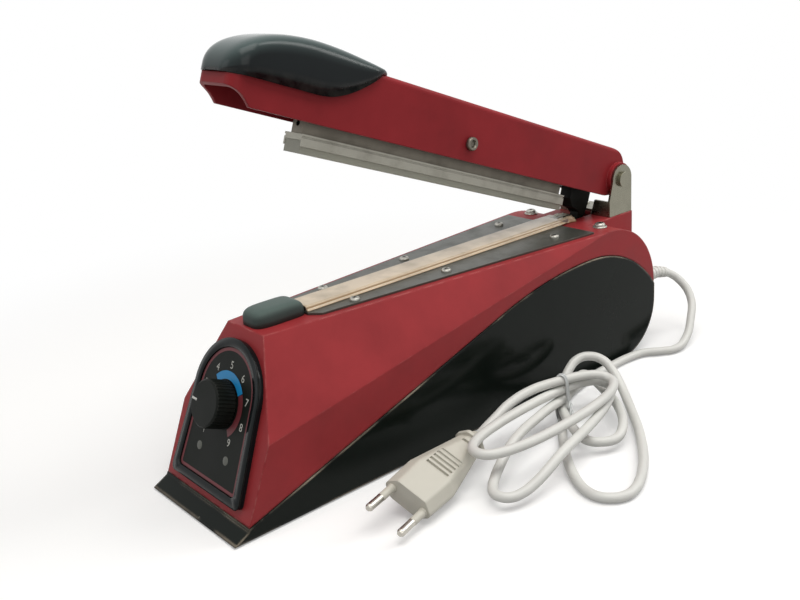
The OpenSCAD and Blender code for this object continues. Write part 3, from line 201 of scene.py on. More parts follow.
def new_piece(name, mesh_maker, body, finish, smooth=30.0):
    """Makes a piece at the origin from a bmesh, gives it its finish and lets it ride on a body."""
    mesh = bpy.data.meshes.new(name)
    shape = bmesh.new()
    mesh_maker(shape)
    shape.normal_update()
    shape.to_mesh(mesh)
    shape.free()
    if smooth:
        mesh.shade_smooth()
        mesh.set_sharp_from_angle(angle=radians(smooth))
    piece = link(name, mesh)
    mesh.materials.append(finish_of(finish))
    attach(piece, body)
    return piece


def new_strand(name, points, diameter, slot):
    """Makes a round strand on one smooth open curve, in the finish named like its slot."""
    line = bpy.data.curves.new(name, "CURVE")
    line.dimensions = "3D"
    line.resolution_u = 5
    line.bevel_depth = diameter / 2
    line.bevel_resolution = 5
    line.use_fill_caps = True
    run = line.splines.new("BEZIER")
    run.bezier_points.add(len(points) - 1)
    for knot, point in zip(run.bezier_points, points):
        knot.co = point
        knot.handle_left_type = "AUTO"
        knot.handle_right_type = "AUTO"
    line.materials.append(finish_of(slot))
    strand = link(name, line)
    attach(strand, "base")
    return strand


def give_wall(piece, thickness):
    """Thickens a skin inwards."""
    wall = piece.modifiers.new("wall", "SOLIDIFY")
    wall.thickness = thickness
    wall.offset = -1.0


def islands(node):
    """Lowest and highest corner of each separate solid in a CAD node."""
    shape = bmesh.new()
    shape.from_mesh(NODES[node].data)
    bmesh.ops.remove_doubles(shape, verts=shape.verts, dist=WELD)
    left = set(shape.verts)
    boxes = []
    while left:
        queue = [left.pop()]
        found = []
        while queue:
            vert = queue.pop()
            found.append(vert.co)
            near = {other for edge in vert.link_edges for other in edge.verts} & left
            left -= near
            queue += near
        boxes.append([Vector([pick(point[i] for point in found) for i in range(3)]) for pick in (min, max)])
    shape.free()
    return sorted(boxes, key=lambda corners: tuple(corners[0]))


def reach(node, way):
    """How far a CAD node reaches along a direction."""
    return max(vert.co.dot(way) for vert in NODES[node].data.vertices)


def front_faces(shape, node):
    """Fills a shape with the faces of a CAD node that lie foremost on the dial."""
    shape.from_mesh(NODES[node].data)
    bmesh.ops.remove_doubles(shape, verts=shape.verts, dist=WELD)
    shape.normal_update()
    front = reach(node, DIAL_OUT) - 0.02 * MM
    away = [face for face in shape.faces if face.normal.dot(DIAL_OUT) < 0.99
            or face.calc_center_median().dot(DIAL_OUT) < front]
    bmesh.ops.delete(shape, geom=away, context="FACES")


def spin(shape, points, steps, angle=tau):
    """Turns a line of points round the z axis, and gives the vertices that were there before."""
    known = set(shape.verts)
    verts = [shape.verts.new(point) for point in points]
    edges = [shape.edges.new(pair) for pair in zip(verts, verts[1:])]
    bmesh.ops.spin(shape, geom=verts + edges, cent=(0, 0, 0), axis=(0, 0, 1), angle=angle, steps=steps,
                   use_merge=angle == tau)
    return known


def newer(shape, known):
    """The vertices of a shape that aren't among the known ones, and their faces."""
    made = [vert for vert in shape.verts if vert not in known]
    return made, list({face for vert in made for face in vert.link_faces})


def settle(shape, known, place):
    """Turns the newer faces outwards, and moves the newer vertices to a place."""
    made, faces = newer(shape, known)
    bmesh.ops.recalc_face_normals(shape, faces=faces)
    bmesh.ops.transform(shape, matrix=place, verts=made)
    return made


def lathe(shape, profile, place, steps=32):
    """Turns a profile of (radius, height) points round the z axis of a place."""
    known = spin(shape, [(radius, 0, height) for radius, height in profile], steps)
    bmesh.ops.remove_doubles(shape, verts=newer(shape, known)[0], dist=1e-7)
    return settle(shape, known, place)


def screw_head(shape, place, radius, height):
    """Adds a domed head with a cross recess, seated on the plane of its place."""
    known = spin(shape, [(x * radius, 0, z * height) for x, z in HEAD_PROFILE], HEAD_STEPS)
    made, _ = newer(shape, known)
    rims = [edge for edge in {e for v in made for e in v.link_edges} if edge.is_boundary]
    crown = [edge for edge in rims if edge.verts[0].co.z > 0.5 * height]
    foot = [edge for edge in rims if edge.verts[0].co.z < 0.5 * height]
    half = CROSS_HALF * radius
    arm = CROSS_ARM * radius
    corners = [(arm, -half), (arm, half), (half, half)]
    cross = []
    for _ in range(4):
        cross += [shape.verts.new((x, y, height)) for x, y in corners]
        corners = [(-y, x) for x, y in corners]
    outline = [shape.edges.new(pair) for pair in zip(cross, cross[1:] + cross[:1])]
    bmesh.ops.bridge_loops(shape, edges=crown + outline)
    sunk = bmesh.ops.extrude_edge_only(shape, edges=outline)["geom"]
    sunk_verts = [item for item in sunk if isinstance(item, bmesh.types.BMVert)]
    sunk_edges = [item for item in sunk if isinstance(item, bmesh.types.BMEdge)]
    bmesh.ops.translate(shape, vec=(0, 0, -0.6 * height), verts=sunk_verts)
    bmesh.ops.scale(shape, vec=(0.8, 0.8, 1), verts=sunk_verts)
    bmesh.ops.edgeloop_fill(shape, edges=sunk_edges)
    bmesh.ops.edgeloop_fill(shape, edges=foot)
    settle(shape, known, place)


def ring_band(shape, inner, outer, start, end, place):
    """Adds a flat band of a ring, its angles clockwise from the top as seen from outside."""
    first = radians(90 - start)
    ends = [(r * cos(first), r * sin(first), 0) for r in (inner, outer)]
    made, faces = newer(shape, spin(shape, ends, 48, radians(start - end)))
    for face in faces:
        face.normal_update()
        if face.normal.z < 0:
            face.normal_flip()
    bmesh.ops.transform(shape, matrix=place, verts=made)


def place_of(right, up, out, at):
    """A place from its three axes and its origin."""
    place = Matrix((right, up, out)).transposed().to_4x4()
    place.translation = at
    return place


def dial_place(right=0.0, up=0.0, lift=0.0):
    """A place on the dial plate, right and up from the knob centre."""
    level = reach("dial_plate", DIAL_OUT) - DIAL_CENTRE.dot(DIAL_OUT)
    at = DIAL_CENTRE + DIAL_RIGHT * right + DIAL_UP * up + DIAL_OUT * (level + lift)
    return place_of(DIAL_RIGHT, DIAL_UP, DIAL_OUT, at)


def ease(value):
    """Goes softly from 0 to 1, and stays there on either side."""
    value = min(max(value, 0.0), 1.0)
    return value * value * (3 - 2 * value)


def bow(value, power):
    """Squares up a sine or cosine, with its sign kept."""
    return copysign(abs(value) ** power, value)


def arm_place(across, along, rise):
    """A point on the open arm, from millimetres across, along and up from its hinge."""
    return ARM_PIN + (Vector((across, 0, 0)) + ARM_OUT * along + ARM_UP * rise) * MM


def round_end(distance, radius):
    """How much narrower a rounded end is, at a distance from its tip."""
    return radius - sqrt(max(0.0, radius ** 2 - max(radius - distance, 0.0) ** 2))


def cap_low(along):
    """Height of the handle cap's lower edge, at a distance along the arm from the hinge."""
    if along >= CAP_HEM[0].x:
        return CAP_EDGE
    for far, near in zip(CAP_HEM, CAP_HEM[1:]):
        if along >= near.x:
            return near.y + (far.y - near.y) * (along - near.x) / (far.x - near.x)
    return CAP_HEM[-1].y


def cord_points(points):
    """Points given in millimetres from the corner, in metres."""
    return [CORD_CORNER + Vector(point) * MM for point in points]


def hank_point(s, diameter):
    """A point on the hank, s loops from the tie, in metres."""
    # How round the ends and the sides of a loop are
    ends, sides = 0.9, 0.8
    j = min(int(s), len(HANK_LOOPS) - 1)
    t = s - j
    fan, far, back, half, tip, lift = HANK_LOOPS[j]
    next_fan = HANK_LOOPS[j + 1][0] if j + 1 < len(HANK_LOOPS) else TAIL_FAN
    long = (far + back) / 2
    middle = (far - back) / 2
    tied = acos(bow(-middle / long, 1 / ends))
    turn = tied - tau * t
    x = middle + long * bow(cos(turn), ends)
    y = half * (bow(sin(turn), sides) - bow(sin(tied), sides))
    climb = ease((t - 0.7) / 0.3)
    a = -radians(fan + (next_fan - fan) * climb)
    droop = ease((x / far - 0.5) / 0.5)
    raised = sin(pi * max(0, (t - 0.6) / 0.4)) ** 2
    layer = HANK_BASE + HANK_STEP * (j + climb)
    low = diameter / MM / 2 + tip
    flat = Vector((HANK_TIE[0] + x * cos(a) + y * sin(a),
                   HANK_TIE[1] + x * sin(a) - y * cos(a),
                   layer + (low - layer) * droop + lift * raised))
    return CORD_CORNER + flat * MM


# Finishes

def bare_tree(holder):
    """The emptied node tree of a material or a world."""
    holder.use_nodes = True
    holder.node_tree.nodes.clear()
    return holder.node_tree


def wire(tree, sockets, values):
    """Sets or links sockets by their names or numbers."""
    for name, value in values.items():
        if isinstance(value, bpy.types.NodeSocket):
            tree.links.new(value, sockets[name])
        else:
            sockets[name].default_value = value


def put(tree, kind, values=None, **settings):
    """Adds a shader node with its settings and its inputs, and gives its outputs."""
    made = tree.nodes.new(kind)
    for name, value in settings.items():
        setattr(made, name, value)
    wire(tree, made.inputs, values or {})
    return made.outputs


def math_of(tree, operation, a, b=0.0, clamp=False):
    return put(tree, "ShaderNodeMath", {0: a, 1: b}, operation=operation, use_clamp=clamp)[0]


def times(tree, a, b):
    return math_of(tree, "MULTIPLY", a, b)


def plus(tree, a, b):
    return math_of(tree, "ADD", a, b)


def colour_mix(tree, mask, first, second):
    return put(tree, "ShaderNodeMix", {0: mask, 6: first, 7: second}, data_type="RGBA")[2]


def shader_mix(tree, mask, first, second):
    return put(tree, "ShaderNodeMixShader", {0: mask, 1: first, 2: second})[0]


def ramp(tree, value, low, high, first=0.0, last=1.0, **settings):
    """Stretches a value so that low becomes the first of two others and high the last."""
    return put(tree, "ShaderNodeMapRange", {0: value, 1: low, 2: high, 3: first, 4: last}, **settings)[0]


def cloud(tree, place, scale, detail, rough=0.5):
    """A value of soft noise."""
    return put(tree, "ShaderNodeTexNoise",
               {"Vector": place, "Scale": scale, "Detail": detail, "Roughness": rough})[0]


def relief(tree, height, **over):
    """A normal from a height in millimetres, over another normal where one is given."""
    return put(tree, "ShaderNodeBump", {"Strength": 1.0, "Distance": MM, "Height": height, **over})[0]


def facing_up(tree, low, high):
    """A mask of the parts that face up: 0 where the normal's height is low, 1 where it is high."""
    normal = put(tree, "ShaderNodeTexCoord")["Normal"]
    return ramp(tree, put(tree, "ShaderNodeSeparateXYZ", {0: normal})["Z"], low, high)


def looked_at(tree):
    """A mask of the rays that see a thing straight, through glass or in a mirror."""
    path = put(tree, "ShaderNodeLightPath")
    seen = math_of(tree, "MAXIMUM", path["Is Camera Ray"], path["Is Transmission Ray"])
    return math_of(tree, "MAXIMUM", seen, path["Is Glossy Ray"])


def shade(colour, factor):
    return (*[min(1.0, channel * factor) for channel in colour], 1.0)


def new_group(name, inputs, outputs):
    """A shader group with a place and other inputs, given by their defaults, and its two ends."""
    tree = bpy.data.node_groups.new(name, "ShaderNodeTree")
    vector, number = "NodeSocketVector", "NodeSocketFloat"
    tree.interface.new_socket(name="Place", in_out="INPUT", socket_type=vector)
    for label, value in inputs.items():
        kind = vector if isinstance(value, tuple) else number
        tree.interface.new_socket(name=label, in_out="INPUT", socket_type=kind).default_value = value
    for label in outputs:
        kind = vector if label == "Normal" else number
        tree.interface.new_socket(name=label, in_out="OUTPUT", socket_type=kind)
    return tree, tree.nodes.new("NodeGroupInput").outputs, tree.nodes.new("NodeGroupOutput").inputs


def group(tree, name, values):
    return put(tree, "ShaderNodeGroup", values, node_tree=bpy.data.node_groups[name])


def moulded_skin():
    """Fine grain, broad mottling and scattered dust of a moulded surface."""
    tree, given, out = new_group(
        "Moulded skin", {"Grain Scale": 1800.0, "Mottle Scale": 30.0, "Dust": 0.3},
        ("Grain", "Mottle", "Dust"))
    place = given["Place"]
    mottle = cloud(tree, place, given["Mottle Scale"], 5.0, 0.6)
    cells = put(tree, "ShaderNodeTexVoronoi", {"Vector": place, "Scale": 210.0, "Randomness": 1.0})
    tone = put(tree, "ShaderNodeSeparateColor", {"Color": cells["Color"]})
    rare = math_of(tree, "GREATER_THAN", tone[0], math_of(tree, "SUBTRACT", 1.0, given["Dust"]))
    small = math_of(tree, "LESS_THAN", cells["Distance"], times(tree, tone[1], 0.13))
    wire(tree, out, {
        "Grain": cloud(tree, place, given["Grain Scale"], 2.0),
        "Mottle": ramp(tree, mottle, 0.3, 0.7),
        "Dust": times(tree, rare, small),
    })


def rubbed_edge():
    """Softened corners, with a broken mask along them where hands and cloths have rubbed them, which also
    places a painted edge highlight.
    """
    tree, given, out = new_group(
        "Edge wear and highlight", {"Radius": 0.0008, "Patch Scale": 160.0}, ("Mask", "Normal"))
    soft = put(tree, "ShaderNodeBevel", {"Radius": given["Radius"]}, samples=6)[0]
    plain = put(tree, "ShaderNodeNewGeometry")["Normal"]
    along = put(tree, "ShaderNodeVectorMath", {0: soft, 1: plain}, operation="DOT_PRODUCT")["Value"]
    edge = ramp(tree, along, 0.995, 0.86)
    broken = ramp(tree, cloud(tree, given["Place"], given["Patch Scale"], 4.0), 0.42, 0.62)
    wire(tree, out, {"Mask": math_of(tree, "MULTIPLY", edge, broken, clamp=True), "Normal": soft})


def drawn_metal():
    """Lines along the rolling direction and faint stains of bare metal."""
    tree, given, out = new_group(
        "Drawn metal", {"Stretch": (2500.0, 40.0, 2500.0)}, ("Lines", "Stain"))
    drawn = put(tree, "ShaderNodeVectorMath", {0: given["Place"], 1: given["Stretch"]},
                operation="MULTIPLY")[0]
    stain = cloud(tree, given["Place"], 90.0, 6.0, 0.65)
    wire(tree, out, {"Lines": cloud(tree, drawn, 1.0, 3.0), "Stain": ramp(tree, stain, 0.45, 0.75)})


def plain_weave():
    """Threads over and under each other, as in coated glass cloth."""
    tree, given, out = new_group("Plain weave", {"Threads": 1400.0}, ("Height", "Scorch"))
    parts = put(tree, "ShaderNodeSeparateXYZ", {0: given["Place"]})
    pace = times(tree, given["Threads"], pi)
    warp, weft = (math_of(tree, "SINE", times(tree, parts[axis], pace)) for axis in (0, 1))
    burn = cloud(tree, given["Place"], 60.0, 5.0)
    wire(tree, out, {"Height": times(tree, warp, weft), "Scorch": ramp(tree, burn, 0.42, 0.68)})


def start_finish(name):
    """A new material: its tree, its shader's inputs and Object coordinates."""
    tree = bare_tree(bpy.data.materials.new(name + "_finish"))
    shader = tree.nodes.new("ShaderNodeBsdfPrincipled")
    put(tree, "ShaderNodeOutputMaterial", {0: shader.outputs[0]})
    return tree, shader.inputs, put(tree, "ShaderNodeTexCoord")["Object"]


def plastic(name, colour, rough, grain=(1800.0, 0.04), mottle=0.14, dust=0.25,
            dust_tint=(0.5, 0.42, 0.36), wear_and_highlight=None, radius=0.7, ripple=0.0, shine=0.5,
            patch=160.0, painted_top_sheen=None):
    """A moulded plastic or rubber: grain, mottling, dust, pale corners that are partly worn and partly a
    painted highlight, and a painted sheen on what faces up.
    """
    tree, shader, place = start_finish(name)
    skin = group(tree, "Moulded skin", {"Place": place, "Grain Scale": grain[0], "Dust": dust})
    edge = group(tree, "Edge wear and highlight", {"Place": place, "Radius": radius * MM, "Patch Scale": patch})
    base = colour_mix(tree, skin["Mottle"], shade(colour, 1 - mottle), shade(colour, 1 + mottle))
    base = colour_mix(tree, times(tree, skin["Dust"], 0.55), base, (*dust_tint, 1.0))
    # Painted sheen: faces that look up take a lighter colour, standing in for the bright reflection on a
    # crown.
    if painted_top_sheen:
        base = colour_mix(tree, facing_up(tree, 0.15, 0.9), base, (*painted_top_sheen, 1.0))
    # Pale colour along the corners: worn spots, and on the casing also a painted highlight along its edges.
    if wear_and_highlight:
        base = colour_mix(tree, times(tree, edge["Mask"], wear_and_highlight[1]), base, (*wear_and_highlight[0], 1.0))
    dull = ramp(tree, skin["Mottle"], 0.0, 1.0, rough * 0.85, rough * 1.2)
    height = plus(tree, times(tree, skin["Grain"], grain[1]), times(tree, skin["Mottle"], ripple))
    wire(tree, shader, {
        "Base Color": base,
        "Roughness": plus(tree, dull, times(tree, skin["Dust"], 0.3)),
        "Normal": relief(tree, height, Normal=edge["Normal"]),
        "Specular IOR Level": shine,
    })


def metal(name, colour, rough, stretch=(2500.0, 40.0, 2500.0), stain=0.35, metallic=1.0, lines=0.02):
    """A bare or plated metal: drawn lines, stains and softened corners."""
    tree, shader, place = start_finish(name)
    drawn = group(tree, "Drawn metal", {"Place": place, "Stretch": stretch})
    edge = group(tree, "Edge wear and highlight", {"Place": place, "Radius": 0.3 * MM, "Patch Scale": 220.0})
    base = colour_mix(tree, times(tree, drawn["Stain"], stain), shade(colour, 1.0), shade(colour, 0.62))
    base = colour_mix(tree, times(tree, edge["Mask"], 0.5), base, shade(colour, 1.35))
    dull = plus(tree, times(tree, drawn["Stain"], 0.16), rough * 0.8)
    wire(tree, shader, {
        "Base Color": base,
        "Roughness": plus(tree, dull, times(tree, drawn["Lines"], rough * 0.4)),
        "Normal": relief(tree, times(tree, drawn["Lines"], lines), Normal=edge["Normal"]),
        "Metallic": metallic,
    })


def cloth(name, colour, painted_side_shade, rough):
    """Coated glass cloth: a fine weave with scorched patches, sides painted darker brown as shade, and a low
    sheen.
    """
    tree, shader, place = start_finish(name)
    weave = group(tree, "Plain weave", {"Place": place})
    base = colour_mix(tree, weave["Scorch"], shade(colour, 1.08), shade(colour, 0.72))
    wire(tree, shader, {
        # Painted shade: faces turned away from up take the darker brown colour.
        "Base Color": colour_mix(tree, facing_up(tree, 0.35, 0.75), (*painted_side_shade, 1.0), base),
        "Roughness": plus(tree, times(tree, weave["Scorch"], 0.15), rough),
        "Normal": relief(tree, times(tree, weave["Height"], 0.012)),
        "Coat Weight": 0.6,
        "Coat Roughness": 0.2,
    })


# Settings

def colour_property(label, description, default):
    return FloatVectorProperty(name=label, description=description, default=default, size=3,
                               min=0.0, max=1.0, subtype="COLOR")


def length_property(label, description, default, low, high):
    return FloatProperty(name=label, description=description, default=default, min=low, max=high,
                         unit="LENGTH")


class SealerColours(bpy.types.PropertyGroup):
    """Colours of the sealer's mouldings, cloth and print."""
    casing: colour_property("Casing", "Red of the top casing", (0.3, 0.028, 0.032))
    # The arm's red is the casing's red made a little darker, as painted shade on the arm.
    arm: colour_property("Arm", "Red of the arm", (0.27, 0.023, 0.028))
    tray: colour_property("Tray", "Dark moulding of the lower tray", (0.006, 0.009, 0.007))
    handle: colour_property("Handle", "Gloss of the handle cap and the bezel", (0.006, 0.009, 0.01))
    front_cap: colour_property("Front cap", "Slate of the cap before the bar", (0.04, 0.054, 0.05))
    cover: colour_property("Cover", "Coated cloth over the heated bar", (0.64, 0.5, 0.33))
    cord: colour_property("Cord", "Sheath of the mains cord", (0.69, 0.69, 0.66))
    plug: colour_property("Plug", "Moulded plug", (0.57, 0.55, 0.48))
    print_pale: colour_property("Numerals", "Pale print on the dial", (0.5, 0.5, 0.46))
    print_blue: colour_property("Blue band", "Band over the middle of the scale", (0.004, 0.23, 0.52))
    print_red: colour_property("Red line", "Line round the dial plate and along the high scale",
                               (0.12, 0.015, 0.02))


class SealerSizes(bpy.types.PropertyGroup):
    """Sizes of the pieces that dress the solids."""
    cord_diameter: length_property("Cord diameter", "Thickness of the mains cord", 0.0052, 0.003, 0.008)
    cord_length: length_property("Cord length", "Length of the cord from gland to plug", 1.2, 0.5, 3.0)
    tie_wire: length_property("Tie wire", "Thickness of the tie round the hank", 0.0011, 0.0006, 0.002)
    numeral_height: length_property("Numeral height", "Height of the numerals on the dial",
                                    0.0038, 0.002, 0.008)
    numeral_radius: length_property("Numeral radius", "Distance of the numerals from the knob centre",
                                    0.0196, 0.015, 0.025)
    numerals: IntProperty(name="Numerals", description="Last number on the dial", default=9, min=3, max=12)
    sleeve_length: length_property("Sleeve length", "Insulated part of each plug pin", 0.0095, 0.0, 0.015)


class SealerSettings(bpy.types.PropertyGroup):
    """Colours and sizes of the sealer."""
    colours: PointerProperty(type=SealerColours)
    sizes: PointerProperty(type=SealerSizes)


# Operators

class SEALER_OT_stage(bpy.types.Operator):
    """Set the camera, the pale floor and the soft light"""
    bl_idname = "sealer.stage"
    bl_label = "Stage"

    def execute(self, context):
        scene = context.scene
        scene.view_settings.view_transform = "Standard"
        lens = bpy.data.cameras.new("camera")
        lens.sensor_width = CAMERA_SENSOR
        lens.lens = CAMERA_LENS
        lens.clip_start = 0.01
        scene.camera = link("camera", lens)
        azimuth, elevation, roll = (radians(angle) for angle in CAMERA_TURN)
        back = Vector((sin(azimuth) * cos(elevation), -cos(azimuth) * cos(elevation),
                       sin(elevation)))
        right = Vector((cos(azimuth), sin(azimuth), 0))
        up = back.cross(right)
        across = right * cos(roll) + up * sin(roll)
        above = up * cos(roll) - right * sin(roll)
        scene.camera.matrix_world = place_of(across, above, back, CAMERA_EYE)

        scene.world = bpy.data.worlds.new("studio")
        tree = bare_tree(scene.world)
        fill = put(tree, "ShaderNodeBackground", {"Color": (1.0, 0.99, 0.97, 1.0), "Strength": 0.24})[0]
        plain = put(tree, "ShaderNodeBackground", {"Color": WHITE, "Strength": 1.0})[0]
        put(tree, "ShaderNodeOutputWorld", {0: shader_mix(tree, looked_at(tree), fill, plain)})

        for name, at, size, power, tint in LIGHTS:
            lamp = bpy.data.lights.new(name, "AREA")
            lamp.shape = "RECTANGLE"
            lamp.size, lamp.size_y = size
            lamp.energy = power
            lamp.color = tint
            light = link(name, lamp)
            light.location = at
            light.rotation_euler = (LIGHTS_AIM - Vector(at)).to_track_quat("-Z", "Y").to_euler()

        floor_mesh = bpy.data.meshes.new("floor")
        shape = bmesh.new()
        bmesh.ops.create_grid(shape, x_segments=1, y_segments=1, size=6.0)
        shape.to_mesh(floor_mesh)
        shape.free()
        floor = link("floor", floor_mesh)
        paper = bpy.data.materials.new("floor paper")
        tree = bare_tree(paper)
        place = put(tree, "ShaderNodeTexCoord")["Object"]
        from_part = put(tree, "ShaderNodeVectorMath", {0: place, 1: FLOOR_MIDDLE}, operation="DISTANCE")
        away = ramp(tree, from_part["Value"], *FLOOR_FADE, interpolation_type="SMOOTHSTEP")
        matt = put(tree, "ShaderNodeBsdfDiffuse", {"Color": (0.8, 0.8, 0.8, 1.0)})[0]
        glow = put(tree, "ShaderNodeEmission", {"Color": WHITE, "Strength": 0.25})[0]
        near = put(tree, "ShaderNodeAddShader", {0: matt, 1: glow})[0]
        plain = put(tree, "ShaderNodeEmission", {"Color": WHITE, "Strength": 1.0})[0]
        bounce = put(tree, "ShaderNodeBsdfDiffuse", {"Color": (0.4, 0.4, 0.4, 1.0)})[0]
        both = shader_mix(tree, looked_at(tree), bounce, shader_mix(tree, away, near, plain))
        put(tree, "ShaderNodeOutputMaterial", {0: both})
        floor_mesh.materials.append(paper)
        return {"FINISHED"}


class SEALER_OT_finishes(bpy.types.Operator):
    """Make the finishes and put them on the solids"""
    bl_idname = "sealer.finishes"
    bl_label = "Finishes"

    def execute(self, context):
        c = context.scene.sealer.colours
        for make_group in (moulded_skin, rubbed_edge, drawn_metal, plain_weave):
            make_group()
        # The pale edge colour is partly worn corners and partly a painted highlight along the casing's upper
        # edges.
        plastic("casing_red", c.casing, 0.46, dust=0.0, wear_and_highlight=((0.55, 0.18, 0.17), 0.7), ripple=0.02,
                radius=1.4, shine=0.2)
        plastic("arm_red", c.arm, 0.42, dust=0.14, wear_and_highlight=((0.5, 0.16, 0.15), 0.6), ripple=0.02,
                shine=0.1)
        # The tray's rounded edges get a pale tan line.
        plastic("tray_black", c.tray, 0.14, grain=(900.0, 0.004), dust_tint=(0.2, 0.19, 0.16),
                wear_and_highlight=((0.45, 0.38, 0.29), 1.0), ripple=0.03, radius=1.8, shine=0.1, patch=30.0)
        gloss = {"grain": (900.0, 0.003), "dust": 0.2, "dust_tint": (0.2, 0.2, 0.18)}
        # The painted top sheen lightens the crown, standing in for the broad reflection on it.
        plastic("handle_black", c.handle, 0.13, **gloss, wear_and_highlight=((0.12, 0.11, 0.1), 0.5), ripple=0.004,
                radius=2.0, shine=0.17, painted_top_sheen=(0.07, 0.1, 0.098))
        plastic("bezel_black", c.handle, 0.16, **gloss, wear_and_highlight=((0.14, 0.1, 0.07), 0.5), shine=0.15)
        # The slate colour is kept dark for the sides as painted shade, and the painted top sheen lightens
        # what faces up.
        plastic("cap_slate", c.front_cap, 0.5, grain=(2600.0, 0.05), dust=0.08, radius=1.2, shine=0.2,
                wear_and_highlight=((0.12, 0.15, 0.14), 0.4), painted_top_sheen=(0.088, 0.124, 0.112))
        plastic("black_plastic", (0.0055, 0.007, 0.0055), 0.45, grain=(2200.0, 0.05), dust=0.1,
                dust_tint=(0.1, 0.1, 0.09), wear_and_highlight=((0.06, 0.055, 0.05), 0.5), shine=0.1)
        plastic("white_plastic", (0.72, 0.72, 0.68), 0.5, mottle=0.06, dust=0.1)
        plastic("ivory_plastic", c.plug, 0.42, grain=(2400.0, 0.03), mottle=0.05, dust=0.1, radius=0.9,
                dust_tint=(0.35, 0.32, 0.26))
        plastic("rubber_black", (0.02, 0.02, 0.02), 0.8, grain=(1500.0, 0.09))
        plastic("silicone", (0.4, 0.4, 0.33), 0.5, grain=(1800.0, 0.03), mottle=0.1, dust=0.2)
        plastic("cord_white", c.cord, 0.36, grain=(1400.0, 0.03), mottle=0.06, dust=0.12,
                dust_tint=(0.45, 0.42, 0.36), radius=0.2)
        plastic("board_green", (0.02, 0.11, 0.05), 0.4, dust=0.1)
        plastic("parts_dark", (0.03, 0.032, 0.04), 0.45, dust=0.1)
        plastic("print_pale", c.print_pale, 0.55, mottle=0.12, dust=0.1)
        plastic("print_blue", c.print_blue, 0.45, mottle=0.1, dust=0.1)
        plastic("print_red", c.print_red, 0.5, mottle=0.2, dust=0.1)
        plastic("tie_clear", (0.6, 0.62, 0.62), 0.22, grain=(900.0, 0.01), mottle=0.08, dust=0.05,
                radius=0.15)
        # Steel is kept darker than bare steel as painted shade, for the press bracket's web in shade under
        # the arm.
        metal("steel", (0.155, 0.14, 0.115), 0.4)
        metal("nickel", (0.24, 0.23, 0.18), 0.26, stretch=(900.0, 900.0, 60.0), stain=0.45)
        metal("pin_metal", (0.5, 0.48, 0.43), 0.2, stretch=(600.0, 600.0, 600.0), stain=0.5)
        metal("screw_metal", (0.42, 0.41, 0.37), 0.34, stretch=(700.0, 700.0, 700.0), stain=0.5)
        metal("plate_grey", (0.085, 0.088, 0.075), 0.34, metallic=0.6, stain=0.14, lines=0.006)
        metal("aluminium", (0.29, 0.28, 0.24), 0.4, lines=0.05)
        metal("copper", (0.6, 0.28, 0.16), 0.35, stretch=(60.0, 2500.0, 2500.0))
        # The darker brown is painted shade on the cloth's sides.
        cloth("tan_cloth", c.cover, (0.36, 0.22, 0.1), 0.3)
        for finish, names in FINISH_OF_NODES.items():
            for name in names:
                for held in NODES[name].material_slots:
                    held.material = finish_of(finish)
        return {"FINISHED"}


class SEALER_OT_cord_tie(bpy.types.Operator):
    """Wind the wire tie round the hank and twist its ends together"""
    bl_idname = "sealer.cord_tie"
    bl_label = "Cord tie"

    def execute(self, context):
        wire_size = context.scene.sealer.sizes.tie_wire
        # The tie's ring in millimetres: its middle, half its height and half its width
        middle = HANK_BASE + 2 * HANK_STEP
        tall = 2 * HANK_STEP + 2.6 + wire_size / MM / 2
        wide = 3.2 + wire_size / MM / 2
        turn = Matrix.Rotation(radians(15), 3, "Z")
        steps = 48

        def place(across, along, high):
            return CORD_CORNER + (Vector((*HANK_TIE, 0)) + turn @ Vector((across, along, high))) * MM

        def twist(start, way, side, twist_steps=20):
            """One of the two ends, which wind round each other along a way."""
            line = []
            for i in range(twist_steps + 1):
                s = i / twist_steps
                a = pi * side + 5.2 * pi * s
                swing = Vector((0.3 * sin(a), cos(a), 0.9 * sin(a))) * 0.62 * ease(s * 4)
                line.append(place(*(start + way * s + Vector((0, 0, -2.2 * s * s)) + swing)))
            return line

        first = Vector((wide + 0.5, -0.9, middle - 1))
        way = Vector((5.5, -7.5, -5))
        points = twist(first, way, 0)[::-1]
        for i in range(1, steps):
            a = -0.1 + tau * 2 * i / steps
            points.append(place(wide * bow(cos(a), 0.6), 1.5 * (i / steps - 0.5) * 2,
                                middle + tall * bow(sin(a), 0.8)))
        points += twist(first + Vector((0, 1.8, 0)), way + Vector((0.4, -1.2, 0.6)), 1)
        tie = new_strand("cord_tie_wire", points, wire_size, "tie_clear")
        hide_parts("cord_tie")
        return {"FINISHED"}


class SEALER_OT_mains_cord(bpy.types.Operator):
    """Lay the mains cord from its gland through the hank to the plug"""
    bl_idname = "sealer.mains_cord"
    bl_label = "Mains cord"

    def execute(self, context):
        sizes = context.scene.sealer.sizes
        points = cord_points(LEAD_POINTS)
        points += [hank_point(i / LOOP_STEPS, sizes.cord_diameter)
                   for i in range(len(HANK_LOOPS) * LOOP_STEPS + 1)]
        points += cord_points(TAIL_POINTS)
        cord = new_strand("mains_cord", points, sizes.cord_diameter, "cord_white")
        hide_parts("cord_lead", "cord_hank", "cord_tail")
        return {"FINISHED"}


